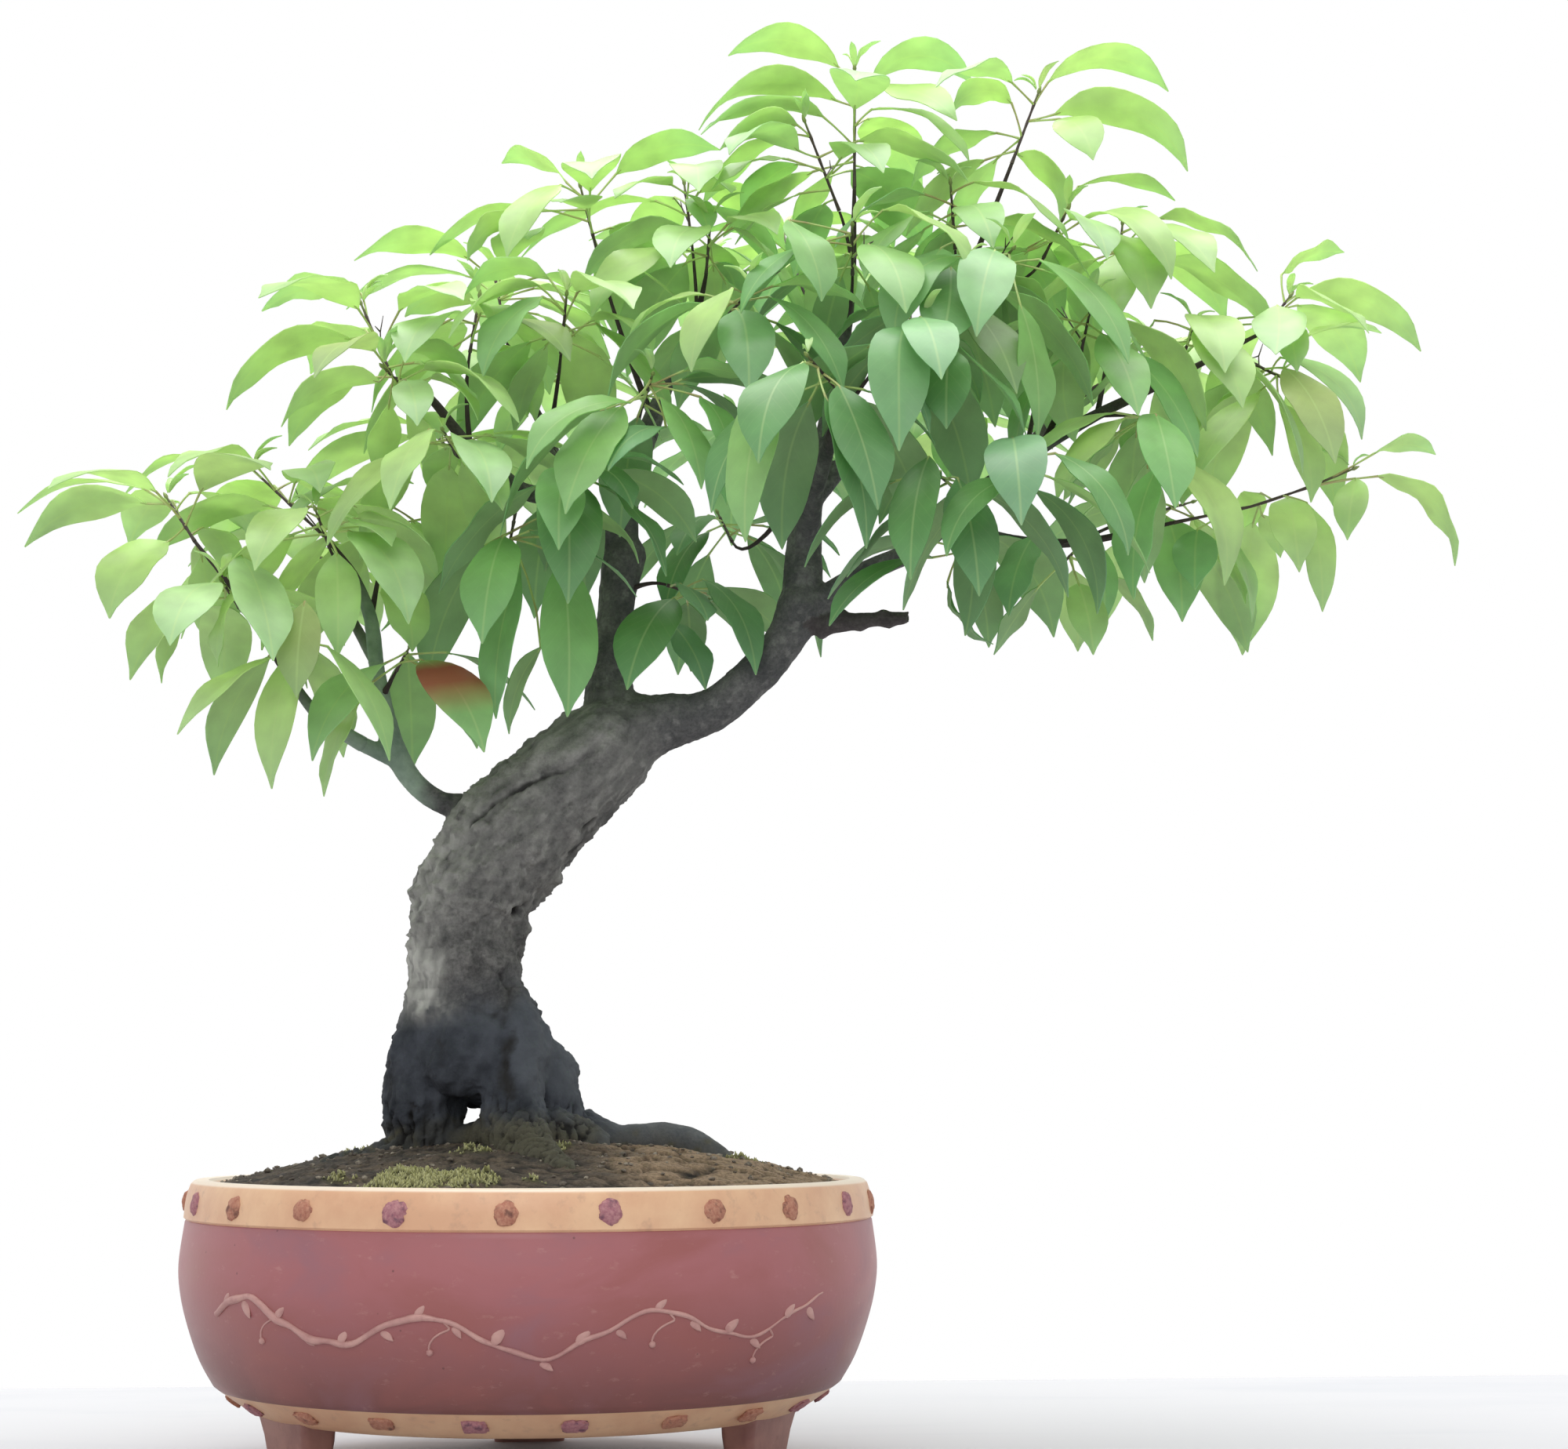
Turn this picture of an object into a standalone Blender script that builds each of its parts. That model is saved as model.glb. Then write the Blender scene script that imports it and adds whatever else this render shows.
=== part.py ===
"""A camphor tree trained as a bonsai, in a round glazed pot on three feet.

All tables are in millimetres in the pot's own frame: the pot's axis is x = y = 0, the table is z = 0,
+X is the tree's right, -Y its front and +Z up. Meshes are made in metres, and at the end everything is
moved so that the middle of the underside of the overall box is the origin.
"""

import math
import random

import bmesh
import bpy
from mathutils import Matrix, Vector, noise
from mathutils.bvhtree import BVHTree

MM = 0.001
GAP = 0.3  # left between pieces that touch
ROOT_GAP = 0.45  # left between the roots and the ground that they stand in

# Pot
POT_SIDES = 36
RIM_Z = 130.6
FLOOR_Z = 34.4
# Buttons round the wall: how many, the first one's turn in degrees, the wall's radius and the height
# there, half their width and height, how far they stand out, their lean in degrees and their sides.
BOSS_ROWS = (
    (22, -4.0, 154.9, 121.0, 5.6, 5.6, 1.9, -9.0, 6),
    (20, -9.4, 132.6, 34.6, 4.8, 3.3, 1.2, 54.0, 4),
)
BOSS_ROOT = 3.0  # how far a button reaches into the wall
FOOT_TURNS = (-60.0, 60.0, 180.0)
# A foot from the table up, as (height, inner radius, outer radius, half width).
FOOT_ROWS = ((0.0, 108.0, 118.5, 17.0), (22.0, 106.0, 121.5, 21.0), (33.0, 106.5, 124.0, 23.5))
FOOT_CORNER = (4.0, 3.0)  # taken off its outer corners, across and inwards
# Outside from the underside's edge to the rim, as (radius, height).
POT_OUTSIDE = (
    (106.0, 27.2), (118.0, 27.9), (125.5, 30.4), (139.4, 39.8), (141.2, 41.2), (147.4, 52.0),
    (152.6, 66.0), (156.2, 80.0), (157.4, 94.0), (155.4, 110.6), (154.6, 111.4), (155.8, 112.4),
    (155.0, 122.0), (153.0, 128.8), (150.8, RIM_Z),
)
# Inside from the rim down to the floor.
POT_INSIDE = (
    (145.2, RIM_Z), (143.6, 128.6), (147.6, 104.0), (146.4, 74.0), (134.0, 48.0), (108.0, FLOOR_Z),
)
DRAIN_RADIUS = 11.0

# Ground
SOIL_SIDES = 18
SOIL_RINGS = (20, 42, 64, 88, 114, 143.2)
SOIL_MOUND = ((0.0, 148.5), (30.0, 147.5), (55.0, 145.0), (80.0, 142.0), (100.0, 138.6),
              (118.0, 134.6), (132.0, 131.0), (143.2, 128.2))

# Woody parts as points (x, y, z, radius).
TRUNK_SIDES = 14
ROOT_SIDES = 7
LOW_WOOD = 200.0  # parts that reach below this may stand in the ground
TRUNK = (
    (-26, 0, 164, 13), (-24, 0, 170, 31), (-24, 0, 187, 35), (-29, 0, 205, 29.5), (-31, 0, 221, 26.6),
    (-32, 0, 237, 26.2), (-30, 0, 250, 26.6), (-25, 0, 265, 27.6), (-15, 0, 282, 28.2),
    (1, 0, 300, 27.2), (19, 0, 317, 25.4), (34, 0, 331, 23.6), (44, 0, 341, 17.0),
)
ROOTS = {
    "left_leg": ((-38, 0, 222, 17), (-43, 0, 198, 18), (-49, -1, 180, 18.5), (-50.5, -1, 163, 18.6),
                 (-49, -1, 146, 15.5), (-49, -1, 120, 11)),
    "right_leg": ((-20, 2, 214, 13), (-8, 1, 198, 14.5), (2, 0, 182, 16.2), (6, 0, 165, 16.4),
                  (7, 2, 148, 15), (8, 2, 120, 11)),
    "front_leg": ((-14, -10, 212, 13), (-10, -20, 190, 14), (-9, -27, 170, 14), (-8, -32, 155, 14),
                  (-3, -50, 144, 12), (6, -72, 138, 9), (16, -96, 131, 6), (22, -112, 122, 3.5)),
    "back_left_leg": ((-36, 10, 208, 15), (-43, 22, 186, 14), (-47, 31, 162, 12.5), (-48, 38, 142, 11),
                      (-48, 40, 120, 8)),
    "back_right_leg": ((-12, 12, 208, 15), (-3, 24, 186, 14), (0, 33, 162, 12.5), (3, 40, 142, 11),
                       (4, 42, 120, 8)),
    "right_root": ((8, 2, 154, 12), (24, 3, 150, 10.5), (40, 3, 147, 8.4), (56, 1, 147.5, 8.2),
                   (70, -2, 146, 8.4), (82, -5, 140, 7), (98, -9, 130, 4)),
    "left_root": ((-52, -3, 146, 11), (-68, -10, 139.5, 7), (-86, -16, 136, 6), (-104, -22, 129, 4)),
    "bridge_root": ((-45, -4, 145, 8), (-28, -9, 147.5, 8.5), (-12, -17, 151, 12), (10, -18, 149, 13),
                    (32, -12, 142, 9)),
    "back_root": ((-46, 36, 152, 10), (-40, 58, 144, 8), (-34, 82, 138, 6), (-28, 102, 128, 4)),
}
LIMBS = {
    "A": ((28, 0, 322, 15), (36, 0, 340, 16.5), (33, 4, 358, 11.2), (35, 8, 380, 9.0), (37, 12, 403, 8.8),
          (40, 14, 424, 10.6), (41, 15, 432, 6.5)),
    "A1": ((39, 13, 418, 6.5), (34, 12, 432, 6.6), (24, 9, 441, 5.4), (10, 4, 448, 4.7), (-11, 0, 452, 4.1),
           (-33, -6, 470, 3.0), (-53, -6, 494, 2.3), (-70, -6, 503, 1.5)),
    "A2": ((39, 13, 418, 6.5), (41, 15, 432, 6.2), (42, 18, 450, 5.3), (46, 20, 474, 4.4), (53, 20, 493, 3.7),
           (64, 15, 516, 3.0), (74, 5, 540, 2.3), (78, 0, 558, 1.5)),
    "A2b": ((42, 18, 450, 4.2), (54, 60, 491, 3.4), (68, 95, 537, 2.6), (85, 120, 577, 1.5)),
    "A3": ((10, 4, 448, 3.8), (4, 40, 485, 3.1), (-12, 60, 522, 2.3), (-20, 60, 553, 1.5)),
    "B": ((28, 0, 325, 15), (44, -2, 336, 17.5), (60, -4, 341, 13.4), (80, -8, 346, 10.6), (98, -12, 360, 9.6),
          (114, -14, 378, 9.4), (122, -16, 396, 11.0), (124, -16, 404, 7)),
    "B1": ((118, -15, 388, 8), (123, -14, 406, 9.4), (124, -10, 424, 8.8), (126, -4, 443, 7.4),
           (132, 0, 467, 5.2), (140, 4, 503, 4.0), (146, 6, 535, 3.1), (149, 4, 565, 2.4), (150, 2, 604, 1.5)),
    "B1b": ((124, -10, 424, 6.2), (126, -50, 445, 4.2), (129, -85, 459, 2.8), (131, -105, 475, 1.6)),
    "B1c": ((126, -4, 445, 5.2), (154, 5, 480, 3.8), (181, 5, 516, 3.0), (199, -2, 549, 2.5),
            (213, -8, 583, 1.9), (225, -10, 614, 1.5)),
    "B1d": ((127, -4, 449, 4.6), (140, 60, 485, 3.9), (158, 110, 522, 3.0), (175, 150, 558, 1.6)),
    "B2": ((117, -15, 387, 6), (128, -17, 394, 7.0), (150, -24, 409, 5.6), (170, -30, 418, 4.8),
           (187, -36, 430, 4.4), (207, -40, 449, 3.7), (233, -38, 468, 3.3), (261, -30, 486, 2.9),
           (294, -20, 504, 2.3), (327, -10, 523, 1.9), (349, 0, 536, 1.5)),
    "B2b": ((187, -36, 430, 3.5), (220, -30, 425, 2.9), (255, -20, 427, 2.4), (301, -10, 439, 1.5)),
    "B2c": ((187, -36, 430, 3.5), (194, -75, 437, 2.5), (202, -95, 440, 1.6)),
    "B2d": ((207, -40, 449, 3.0), (238, 30, 484, 2.9), (268, 80, 517, 2.3), (296, 100, 539, 1.5)),
    "B3": ((119, -15, 386, 5.0), (136, -20, 386, 5.0), (152, -26, 387, 3.6), (171, -34, 387, 3.2)),
    "C": ((-20, 0, 296, 7), (-33, 0, 300, 6.6), (-45, -2, 303, 5.2), (-56, -4, 311, 5.1), (-64, -6, 323, 5.4),
          (-69, -8, 336, 5.1), (-72, -8, 350, 4.4), (-75, -6, 367, 3.7), (-78, -4, 388, 3.2),
          (-87, 0, 410, 2.5), (-98, 0, 425, 1.6)),
    "C1": ((-65, -6, 322, 4.2), (-80, -12, 328, 3.7), (-91, -20, 334, 3.3), (-102, -28, 342, 2.9),
           (-115, -34, 360, 2.5), (-128, -38, 381, 2.1), (-141, -36, 399, 1.8), (-157, -24, 419, 1.4)),
    "Cb": ((-75, -6, 367, 3.0), (-89, 35, 394, 2.5), (-102, 60, 421, 1.6)),
}

# Leafy shoots, one row each: the limb, the number of its point where the twig leaves, the twig's end
# (None where the limb itself ends in the shoot), the point or points that the shoot runs through, how
# many leaves follow the rule, and the leaves that show as single shapes from the front. Each of those
# is the blade's base, its tip, how far it arches above the straight line, and its width.
SPRAYS = (
    ("B1", -1, None, (150, 0, 662), 3, (
        ((142, 0, 664), (88, -5, 666), 11, 27),
        ((141, 0, 647), (73, -20, 623), 16, 29),
        ((158, 0, 657), (209, 5, 659), 14, 28),
        ((158, -3, 642), (202, -25, 610), 9, 28),
        ((160, -3, 654), (173, -38, 614), 5, 28),
    )),
    ("B1", 7, (142, -4, 590), (124, -20, 628), 5, (
        ((120, -20, 627), (82, -36, 608), 6, 27),
    )),
    ("B1c", -1, None, (238, -12, 649), 1, (
        ((243, -12, 655), (304, -5, 655), 15, 28),
        ((246, -12, 639), (308, -25, 608), 16, 30),
        ((248, -14, 636), (258, -46, 605), 6, 26),
        ((225, -12, 644), (196, -8, 639), 9, 26),
        ((228, -10, 619), (258, -26, 598), 8, 26),
    )),
    ("B1c", 3, (198, -5, 572), (194, -18, 600), 7, ()),
    ("B1c", 3, (207, -50, 546), (213, -80, 550), 5, (
        ((213, -98, 519), (219, -104, 456), 4, 24),
    )),
    ("B1b", 2, (153, -95, 494), (168, -110, 507), 5, (
        ((177, -122, 492), (174, -132, 453), 4, 26),
        ((143, -118, 493), (167, -138, 451), 6, 26),
    )),
    ("B1b", -1, None, (114, -135, 483), 5, (
        ((98, -140, 471), (86, -152, 398), 6, 29),
        ((121, -140, 464), (137, -152, 396), 6, 33),
    )),
    ("B1", 6, (143, -50, 545), (139, -85, 557), 5, (
        ((109, -98, 555), (122, -116, 513), 5, 32),
    )),
    ("B1c", 2, (180, -50, 527), (192, -85, 543), 4, (
        ((187, -92, 542), (155, -112, 495), 13, 30),
    )),
    ("A2", -1, None, (80, 0, 584), 7, ()),
    ("A2", 5, (82, -50, 521), (93, -85, 526), 5, (
        ((84, -95, 524), (65, -116, 480), 7, 30),
    )),
    ("A2", 3, (46, -50, 480), (49, -90, 485), 4, (
        ((39, -95, 471), (-6, -110, 437), 10, 27),
        ((70, -96, 474), (82, -112, 440), 5, 23),
        ((55, -92, 461), (29, -114, 436), 6, 22),
    )),
    ("A2", 4, (27, 20, 571), (18, 15, 604), 4, (
        ((11, 15, 607), (-21, 45, 626), 7, 24),
        ((8, 10, 604), (-17, -20, 558), 7, 28),
        ((-9, 10, 590), (-36, 0, 568), 6, 24),
        ((35, 15, 612), (85, 10, 624), 8, 27),
    )),
    ("A1", -1, None, (-85, -3, 538), 3, (
        ((-86, 0, 545), (-132, 0, 535), 7, 26),
        ((-90, -2, 522), (-146, -12, 484), 12, 29),
    )),
    ("A1", 6, (-62, -22, 492), (-72, -42, 498), 3, (
        ((-74, -40, 492), (-117, -52, 467), 9, 28),
        ((-61, -30, 510), (-33, -25, 499), 5, 24),
    )),
    ("A1", 5, (-34, 0, 517), (-30, 0, 544), 6, (
        ((-32, 0, 542), (-65, 0, 534), 6, 25),
    )),
    ("A3", 1, (9, -10, 515), (11, -45, 533), 5, (
        ((3, -45, 541), (-36, -45, 532), 9, 27),
        ((0, -50, 531), (-26, -66, 489), 6, 30),
    )),
    ("A1", 5, (-39, -30, 461), (-44, -60, 465), 6, ()),
    ("A1", 4, (-12, -25, 431), (-14, -45, 414), 2, (
        ((-9, -45, 406), (-19, -54, 335), 5, 33),
        ((10, -50, 409), (13, -56, 336), 4, 33),
        ((1, -40, 370), (-13, -40, 330), 4, 21),
    )),
    ("A1", 3, (13, -30, 447), (14, -65, 448), 6, ()),
    ("A", 4, (60, 6, 408), (79, 8, 402), 3, (
        ((76, 4, 399), (102, -10, 380), 8, 22),
        ((60, 0, 390), (75, -10, 351), 4, 24),
    )),
    ("B2", 7, (279, 5, 561), (281, 0, 588), 7, ()),
    ("B2", 6, (253, -35, 515), (252, -65, 529), 6, ()),
    ("B2", -1, None, (363, 0, 554), 3, (
        ((360, 2, 566), (397, 20, 584), 5, 22),
        ((368, 0, 556), (425, -10, 526), 11, 28),
        ((372, 0, 535), (418, 30, 546), 5, 22),
    )),
    ("B2", 8, (304, -25, 516), (307, -35, 529), 6, ()),
    ("B2", 9, (340, -20, 515), (350, -30, 506), 4, (
        ((352, -22, 518), (386, -38, 475), 10, 27),
        ((350, -26, 495), (362, -34, 445), 5, 26),
    )),
    ("B2", 7, (274, -50, 481), (278, -80, 472), 5, (
        ((277, -85, 449), (264, -92, 387), 5, 30),
    )),
    ("B2b", -1, None, ((342, -5, 449), (371, 0, 460), (392, 0, 469)), 2, (
        ((403, 0, 477), (439, 15, 481), 5, 20),
        ((405, 0, 466), (438, -12, 420), 11, 27),
        ((393, -3, 464), (381, -26, 429), 3, 20),
        ((368, -5, 451), (371, -16, 396), 4, 24),
        ((347, 0, 446), (360, 16, 428), 3, 16),
        ((326, -8, 439), (338, -12, 391), 4, 24),
        ((313, -10, 436), (305, -36, 402), 4, 25),
    )),
    ("B2b", 2, (291, 22, 448), (322, 40, 460), 5, ()),
    ("B2c", -1, None, (212, -120, 444), 4, (
        ((223, -125, 445), (251, -142, 397), 8, 27),
        ((208, -124, 434), (172, -144, 395), 9, 27),
    )),
    ("B2c", 1, (184, -85, 438), (171, -110, 440), 5, (
        ((174, -116, 438), (157, -126, 401), 5, 25),
    )),
    ("B2b", 2, (249, -35, 420), (240, -55, 411), 4, (
        ((227, -52, 424), (212, -66, 383), 4, 26),
        ((257, -46, 422), (259, -54, 362), 6, 22),
    )),
    ("B2", 4, (189, -50, 417), (195, -66, 412), 4, (
        ((195, -66, 412), (192, -76, 376), 3, 20),
    )),
    ("C1", -1, None, (-172, -10, 442), 5, (
        ((-181, -12, 439), (-235, -16, 417), 9, 29),
        ((-170, -18, 420), (-192, -42, 380), 8, 34),
    )),
    ("C", -1, None, (-136, 15, 462), 7, ()),
    ("C", 9, (-96, -25, 417), (-101, -45, 430), 5, (
        ((-91, -50, 410), (-88, -66, 360), 6, 24),
    )),
    ("C", 8, (-73, 5, 423), (-69, 0, 446), 5, (
        ((-68, -18, 405), (-57, -34, 368), 5, 28),
    )),
    ("C1", 5, (-134, -45, 385), (-140, -60, 394), 4, (
        ((-128, -60, 396), (-147, -68, 355), 7, 30),
        ((-150, -40, 389), (-169, -34, 352), 6, 20),
    )),
    ("C1", 4, (-109, -50, 365), (-102, -65, 373), 4, (
        ((-104, -66, 368), (-115, -78, 299), 6, 34),
        ((-102, -82, 382), (-104, -92, 338), 4, 24),
    )),
    ("C", 6, (-65, -20, 361), (-59, -30, 370), 4, (
        ((-52, -32, 361), (-27, -42, 323), 6, 24),
    )),
    ("B1", 6, (130, 70, 576), (124, 95, 608), 6, ()),
    ("B1c", 2, (189, 90, 559), (193, 125, 595), 6, ()),
    ("A2b", -1, None, (88, 135, 603), 6, ()),
    ("A3", 2, (0, 85, 520), (4, 115, 538), 5, ()),
    ("A3", -1, None, (-24, 70, 576), 5, ()),
    ("B2d", 1, (254, 75, 544), (260, 100, 574), 6, ()),
    ("B2d", -1, None, (326, 112, 550), 6, ()),
    ("B1d", -1, None, (169, 192, 564), 6, ()),
    ("B1d", 2, (203, 140, 522), (230, 165, 523), 6, ()),
    ("B1d", 1, (109, 110, 500), (103, 150, 517), 6, ()),
    ("A1", 4, (-42, 60, 481), (-53, 90, 498), 6, ()),
    ("Cb", -1, None, (-114, 88, 442), 6, ()),
    ("A2", 6, (72, 25, 585), (69, 30, 612), 6, ()),
    ("B1c", 3, (239, -15, 566), (248, -30, 585), 5, ()),
    ("B1", 4, (94, 45, 437), (88, 60, 454), 5, ()),
)

# Leaves
LEAF_STEPS = 12  # the midrib is worked out in this many short steps
# Share of the greatest width along the blade, step by step.
LEAF_OUTLINE = (0.05, 0.50, 0.80, 0.95, 1.0, 0.98, 0.91, 0.79, 0.62, 0.42, 0.24, 0.10, 0.0)
LEAF_STATIONS = (3, 7)  # steps at which the blade has a cross-section
LEAF_THICK = 1.3
STALK_RADIUS = 0.75
SHOOT_RADIUS = 1.25
LEAF_LENGTH = 71.0
LEAF_CLEARANCE = 0.9
TRIES = 60
GOLDEN_ANGLE = math.radians(137.508)
CANOPY_MIDDLE = Vector((110.0, 20.0, 500.0))
CANOPY_TOP = 660.0  # the crown's highest level, over x = CANOPY_CREST
CANOPY_CREST = 180.0
YOUNG_DEPTH = 30.0  # shoots this near the crown's surface bear young leaves
MID_DEPTH = 95.0

COLOURS = {
    "glaze": ((0.40, 0.13, 0.13), 0.32),
    "soil": ((0.075, 0.055, 0.04), 0.95),
    "bark": ((0.075, 0.068, 0.062), 0.85),
    "leaf_young": ((0.40, 0.60, 0.14), 0.42),
    "leaf_mid": ((0.21, 0.45, 0.11), 0.40),
    "leaf_shade": ((0.09, 0.26, 0.07), 0.38),
}


def make_material(name):
    colour, roughness = COLOURS[name]
    material = bpy.data.materials.new(name)
    material.use_nodes = True
    shader = material.node_tree.nodes["Principled BSDF"]
    shader.inputs["Base Color"].default_value = (*colour, 1.0)
    shader.inputs["Roughness"].default_value = roughness
    shader.inputs["Metallic"].default_value = 0.0
    return material


def make_object(name, points, faces, material):
    """An object from points in millimetres; a face is a tuple of point numbers, seen from outside."""
    mesh = bpy.data.meshes.new(name)
    mesh.from_pydata([Vector(p) * MM for p in points], [], faces)
    mesh.materials.append(material)
    piece = bpy.data.objects.new(name, mesh)
    bpy.context.scene.collection.objects.link(piece)
    return piece


def combine(piece, others, operation, flat):
    """Joins the others to a piece, or cuts them from it, in one Boolean on a collection of them."""
    group = bpy.data.collections.new(piece.name + "_repeats")
    bpy.context.scene.collection.children.link(group)
    for other in others:
        bpy.context.scene.collection.objects.unlink(other)
        group.objects.link(other)
    boolean = piece.modifiers.new("combine", "BOOLEAN")
    boolean.operation = operation
    boolean.operand_type = "COLLECTION"
    boolean.collection = group
    graph = bpy.context.evaluated_depsgraph_get()
    mesh = bpy.data.meshes.new_from_object(piece.evaluated_get(graph))
    old = piece.data
    piece.modifiers.clear()
    piece.data = mesh
    bpy.data.meshes.remove(old)
    for other in others:
        bpy.data.objects.remove(other)
    bpy.data.collections.remove(group)
    clean(piece, flat)


def clean(piece, flat):
    """Drops loose scraps and sealed hollows, and joins faces that meet within `flat` degrees."""
    shape = bmesh.new()
    shape.from_mesh(piece.data)
    left = set(shape.verts)
    bodies = []
    while left:
        body = [left.pop()]
        for corner in body:
            near = {link.other_vert(corner) for link in corner.link_edges} & left
            left -= near
            body.extend(near)
        bodies.append(body)
    bodies.sort(key=len)
    for body in bodies[:-1]:
        bmesh.ops.delete(shape, geom=body, context="VERTS")
    if flat:
        bmesh.ops.dissolve_limit(
            shape, angle_limit=math.radians(flat), verts=shape.verts, edges=shape.edges)
        bmesh.ops.triangulate(shape, faces=shape.faces)
    shape.to_mesh(piece.data)
    shape.free()


def shade_round(piece, degrees):
    piece.data.shade_smooth()
    piece.data.set_sharp_from_angle(angle=math.radians(degrees))


def lerp(table, x):
    """Straight-line value at x in rows of (x, value)."""
    for (x0, y0), (x1, y1) in zip(table, table[1:]):
        if x <= x1:
            return y0 + (y1 - y0) * max(0.0, x - x0) / (x1 - x0)
    return table[-1][1]


def tube(path, sides, relief=0.0, grow=0.0, last_way=None):
    """Points and faces of a closed tube along points (x, y, z, radius).

    relief is the depth of the bark's lumps as a share of the radius. last_way turns the end face.
    """
    centres = [Vector(p[:3]) for p in path]
    ways = []
    for i in range(len(centres)):
        ways.append((centres[min(i + 1, len(path) - 1)] - centres[max(i - 1, 0)]).normalized())
    if last_way is not None:
        ways[-1] = last_way.normalized()
    centres[0] -= ways[0] * grow
    centres[-1] += ways[-1] * grow
    side = ways[0].orthogonal().normalized()
    points = []
    for centre, way, place in zip(centres, ways, path):
        side = (side - way * side.dot(way)).normalized()
        across = way.cross(side)
        for k in range(sides):
            angle = math.tau * k / sides
            out = side * math.cos(angle) + across * math.sin(angle)
            radius = place[3]
            if relief:
                spot = centre + out * radius
                lump = noise.noise(spot / 17.0) + 0.6 * noise.noise(spot / 7.0)
                radius *= 1.0 + relief * lump
            points.append(centre + out * (radius + grow))
    faces = [tuple(reversed(range(sides)))]
    for ring in range(len(path) - 1):
        a = ring * sides
        for k in range(sides):
            m = (k + 1) % sides
            faces.append((a + k, a + m, a + sides + m))
            faces.append((a + k, a + sides + m, a + sides + k))
    last = (len(path) - 1) * sides
    faces.append(tuple(range(last, last + sides)))
    return points, faces


# Pot


def make_boss(radius, z, angle, half_across, half_high, proud, tilt, sides, material):
    """A button whose root lies well inside the wall; with more than four sides its face is domed."""
    rows = [(-BOSS_ROOT, 1.0), (0.5 * proud, 0.96) if sides > 4 else (proud, 0.84)]
    points = []
    for out, size in rows:
        for k in range(sides):
            turn = math.tau * (k + 0.5) / sides
            across = half_across * size * math.cos(turn) / math.cos(math.pi / sides)
            high = half_high * size * math.sin(turn) / math.cos(math.pi / sides)
            points.append(Vector((across, -out, high)))
    faces = [tuple(reversed(range(sides)))]
    for k in range(sides):
        faces.append((k, (k + 1) % sides, sides + (k + 1) % sides, sides + k))
    if sides > 4:
        points.append(Vector((0.0, -proud, 0.0)))
        faces += [(sides + k, sides + (k + 1) % sides, 2 * sides) for k in range(sides)]
    else:
        faces.append(tuple(range(sides, 2 * sides)))
    place = Matrix.Rotation(angle, 4, "Z") @ Matrix.Translation((0.0, -radius, z))
    place = place @ Matrix.Rotation(tilt, 4, "X")
    return make_object("boss", [place @ p for p in points], faces, material)


def make_foot(angle, material):
    """A tapered block whose top lies inside the wall, with its outer corners taken off."""
    cut, back = FOOT_CORNER
    turned = Matrix.Rotation(angle, 3, "Z")
    points = []
    for z, inner, outer, half in FOOT_ROWS:
        for across, out in ((-half, inner), (half, inner), (half, outer - back), (half - cut, outer),
                            (cut - half, outer), (-half, outer - back)):
            points.append(turned @ Vector((across, -out, z)))
    sides = 6
    faces = [tuple(range(sides))]
    for a in (0, sides):
        for k in range(sides):
            m = (k + 1) % sides
            faces.append((a + m, a + k, a + sides + k, a + sides + m))
    faces.append(tuple(reversed(range(2 * sides, 3 * sides))))
    return make_object("foot", points, faces, material)


def make_pot(material):
    shape = bmesh.new()
    profile = ((DRAIN_RADIUS, POT_OUTSIDE[0][1]), *POT_OUTSIDE, *POT_INSIDE, (DRAIN_RADIUS, FLOOR_Z))
    corners = [shape.verts.new((r * MM, 0.0, z * MM)) for r, z in profile]
    lines = [shape.edges.new((corners[i - 1], corners[i])) for i in range(len(corners))]
    bmesh.ops.spin(shape, geom=corners + lines, cent=(0, 0, 0), axis=(0, 0, 1), angle=math.tau,
                   steps=POT_SIDES, use_merge=True)
    bmesh.ops.remove_doubles(shape, verts=shape.verts[:], dist=1e-6)
    bmesh.ops.recalc_face_normals(shape, faces=shape.faces[:])
    mesh = bpy.data.meshes.new("pot")
    shape.to_mesh(mesh)
    shape.free()
    mesh.materials.append(material)
    pot = bpy.data.objects.new("pot", mesh)
    bpy.context.scene.collection.objects.link(pot)
    added = [make_foot(math.radians(turn), material) for turn in FOOT_TURNS]
    for count, first, radius, z, half_across, half_high, proud, lean, sides in BOSS_ROWS:
        for i in range(count):
            turn = math.radians(first + 360.0 * i / count)
            added.append(make_boss(radius, z, turn, half_across, half_high, proud, math.radians(lean),
                                   sides, material))
    combine(pot, added, "UNION", 2)
    shade_round(pot, 32)
    return pot


# Ground


def ground_height(x, y):
    """Top of the packed ground: a low mound with lumps, a little lower at the front."""
    height = lerp(SOIL_MOUND, math.hypot(x, y))
    fade = min(1.0, (146.0 - math.hypot(x, y)) / 25.0)
    lump = 2.0 * noise.noise(Vector((x / 26.0, y / 26.0, 3.1)))
    lump += 1.0 * noise.noise(Vector((x / 9.0, y / 9.0, 7.7)))
    return height + fade * (lump - 1.2 * max(0.0, -y) / 140.0)


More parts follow.
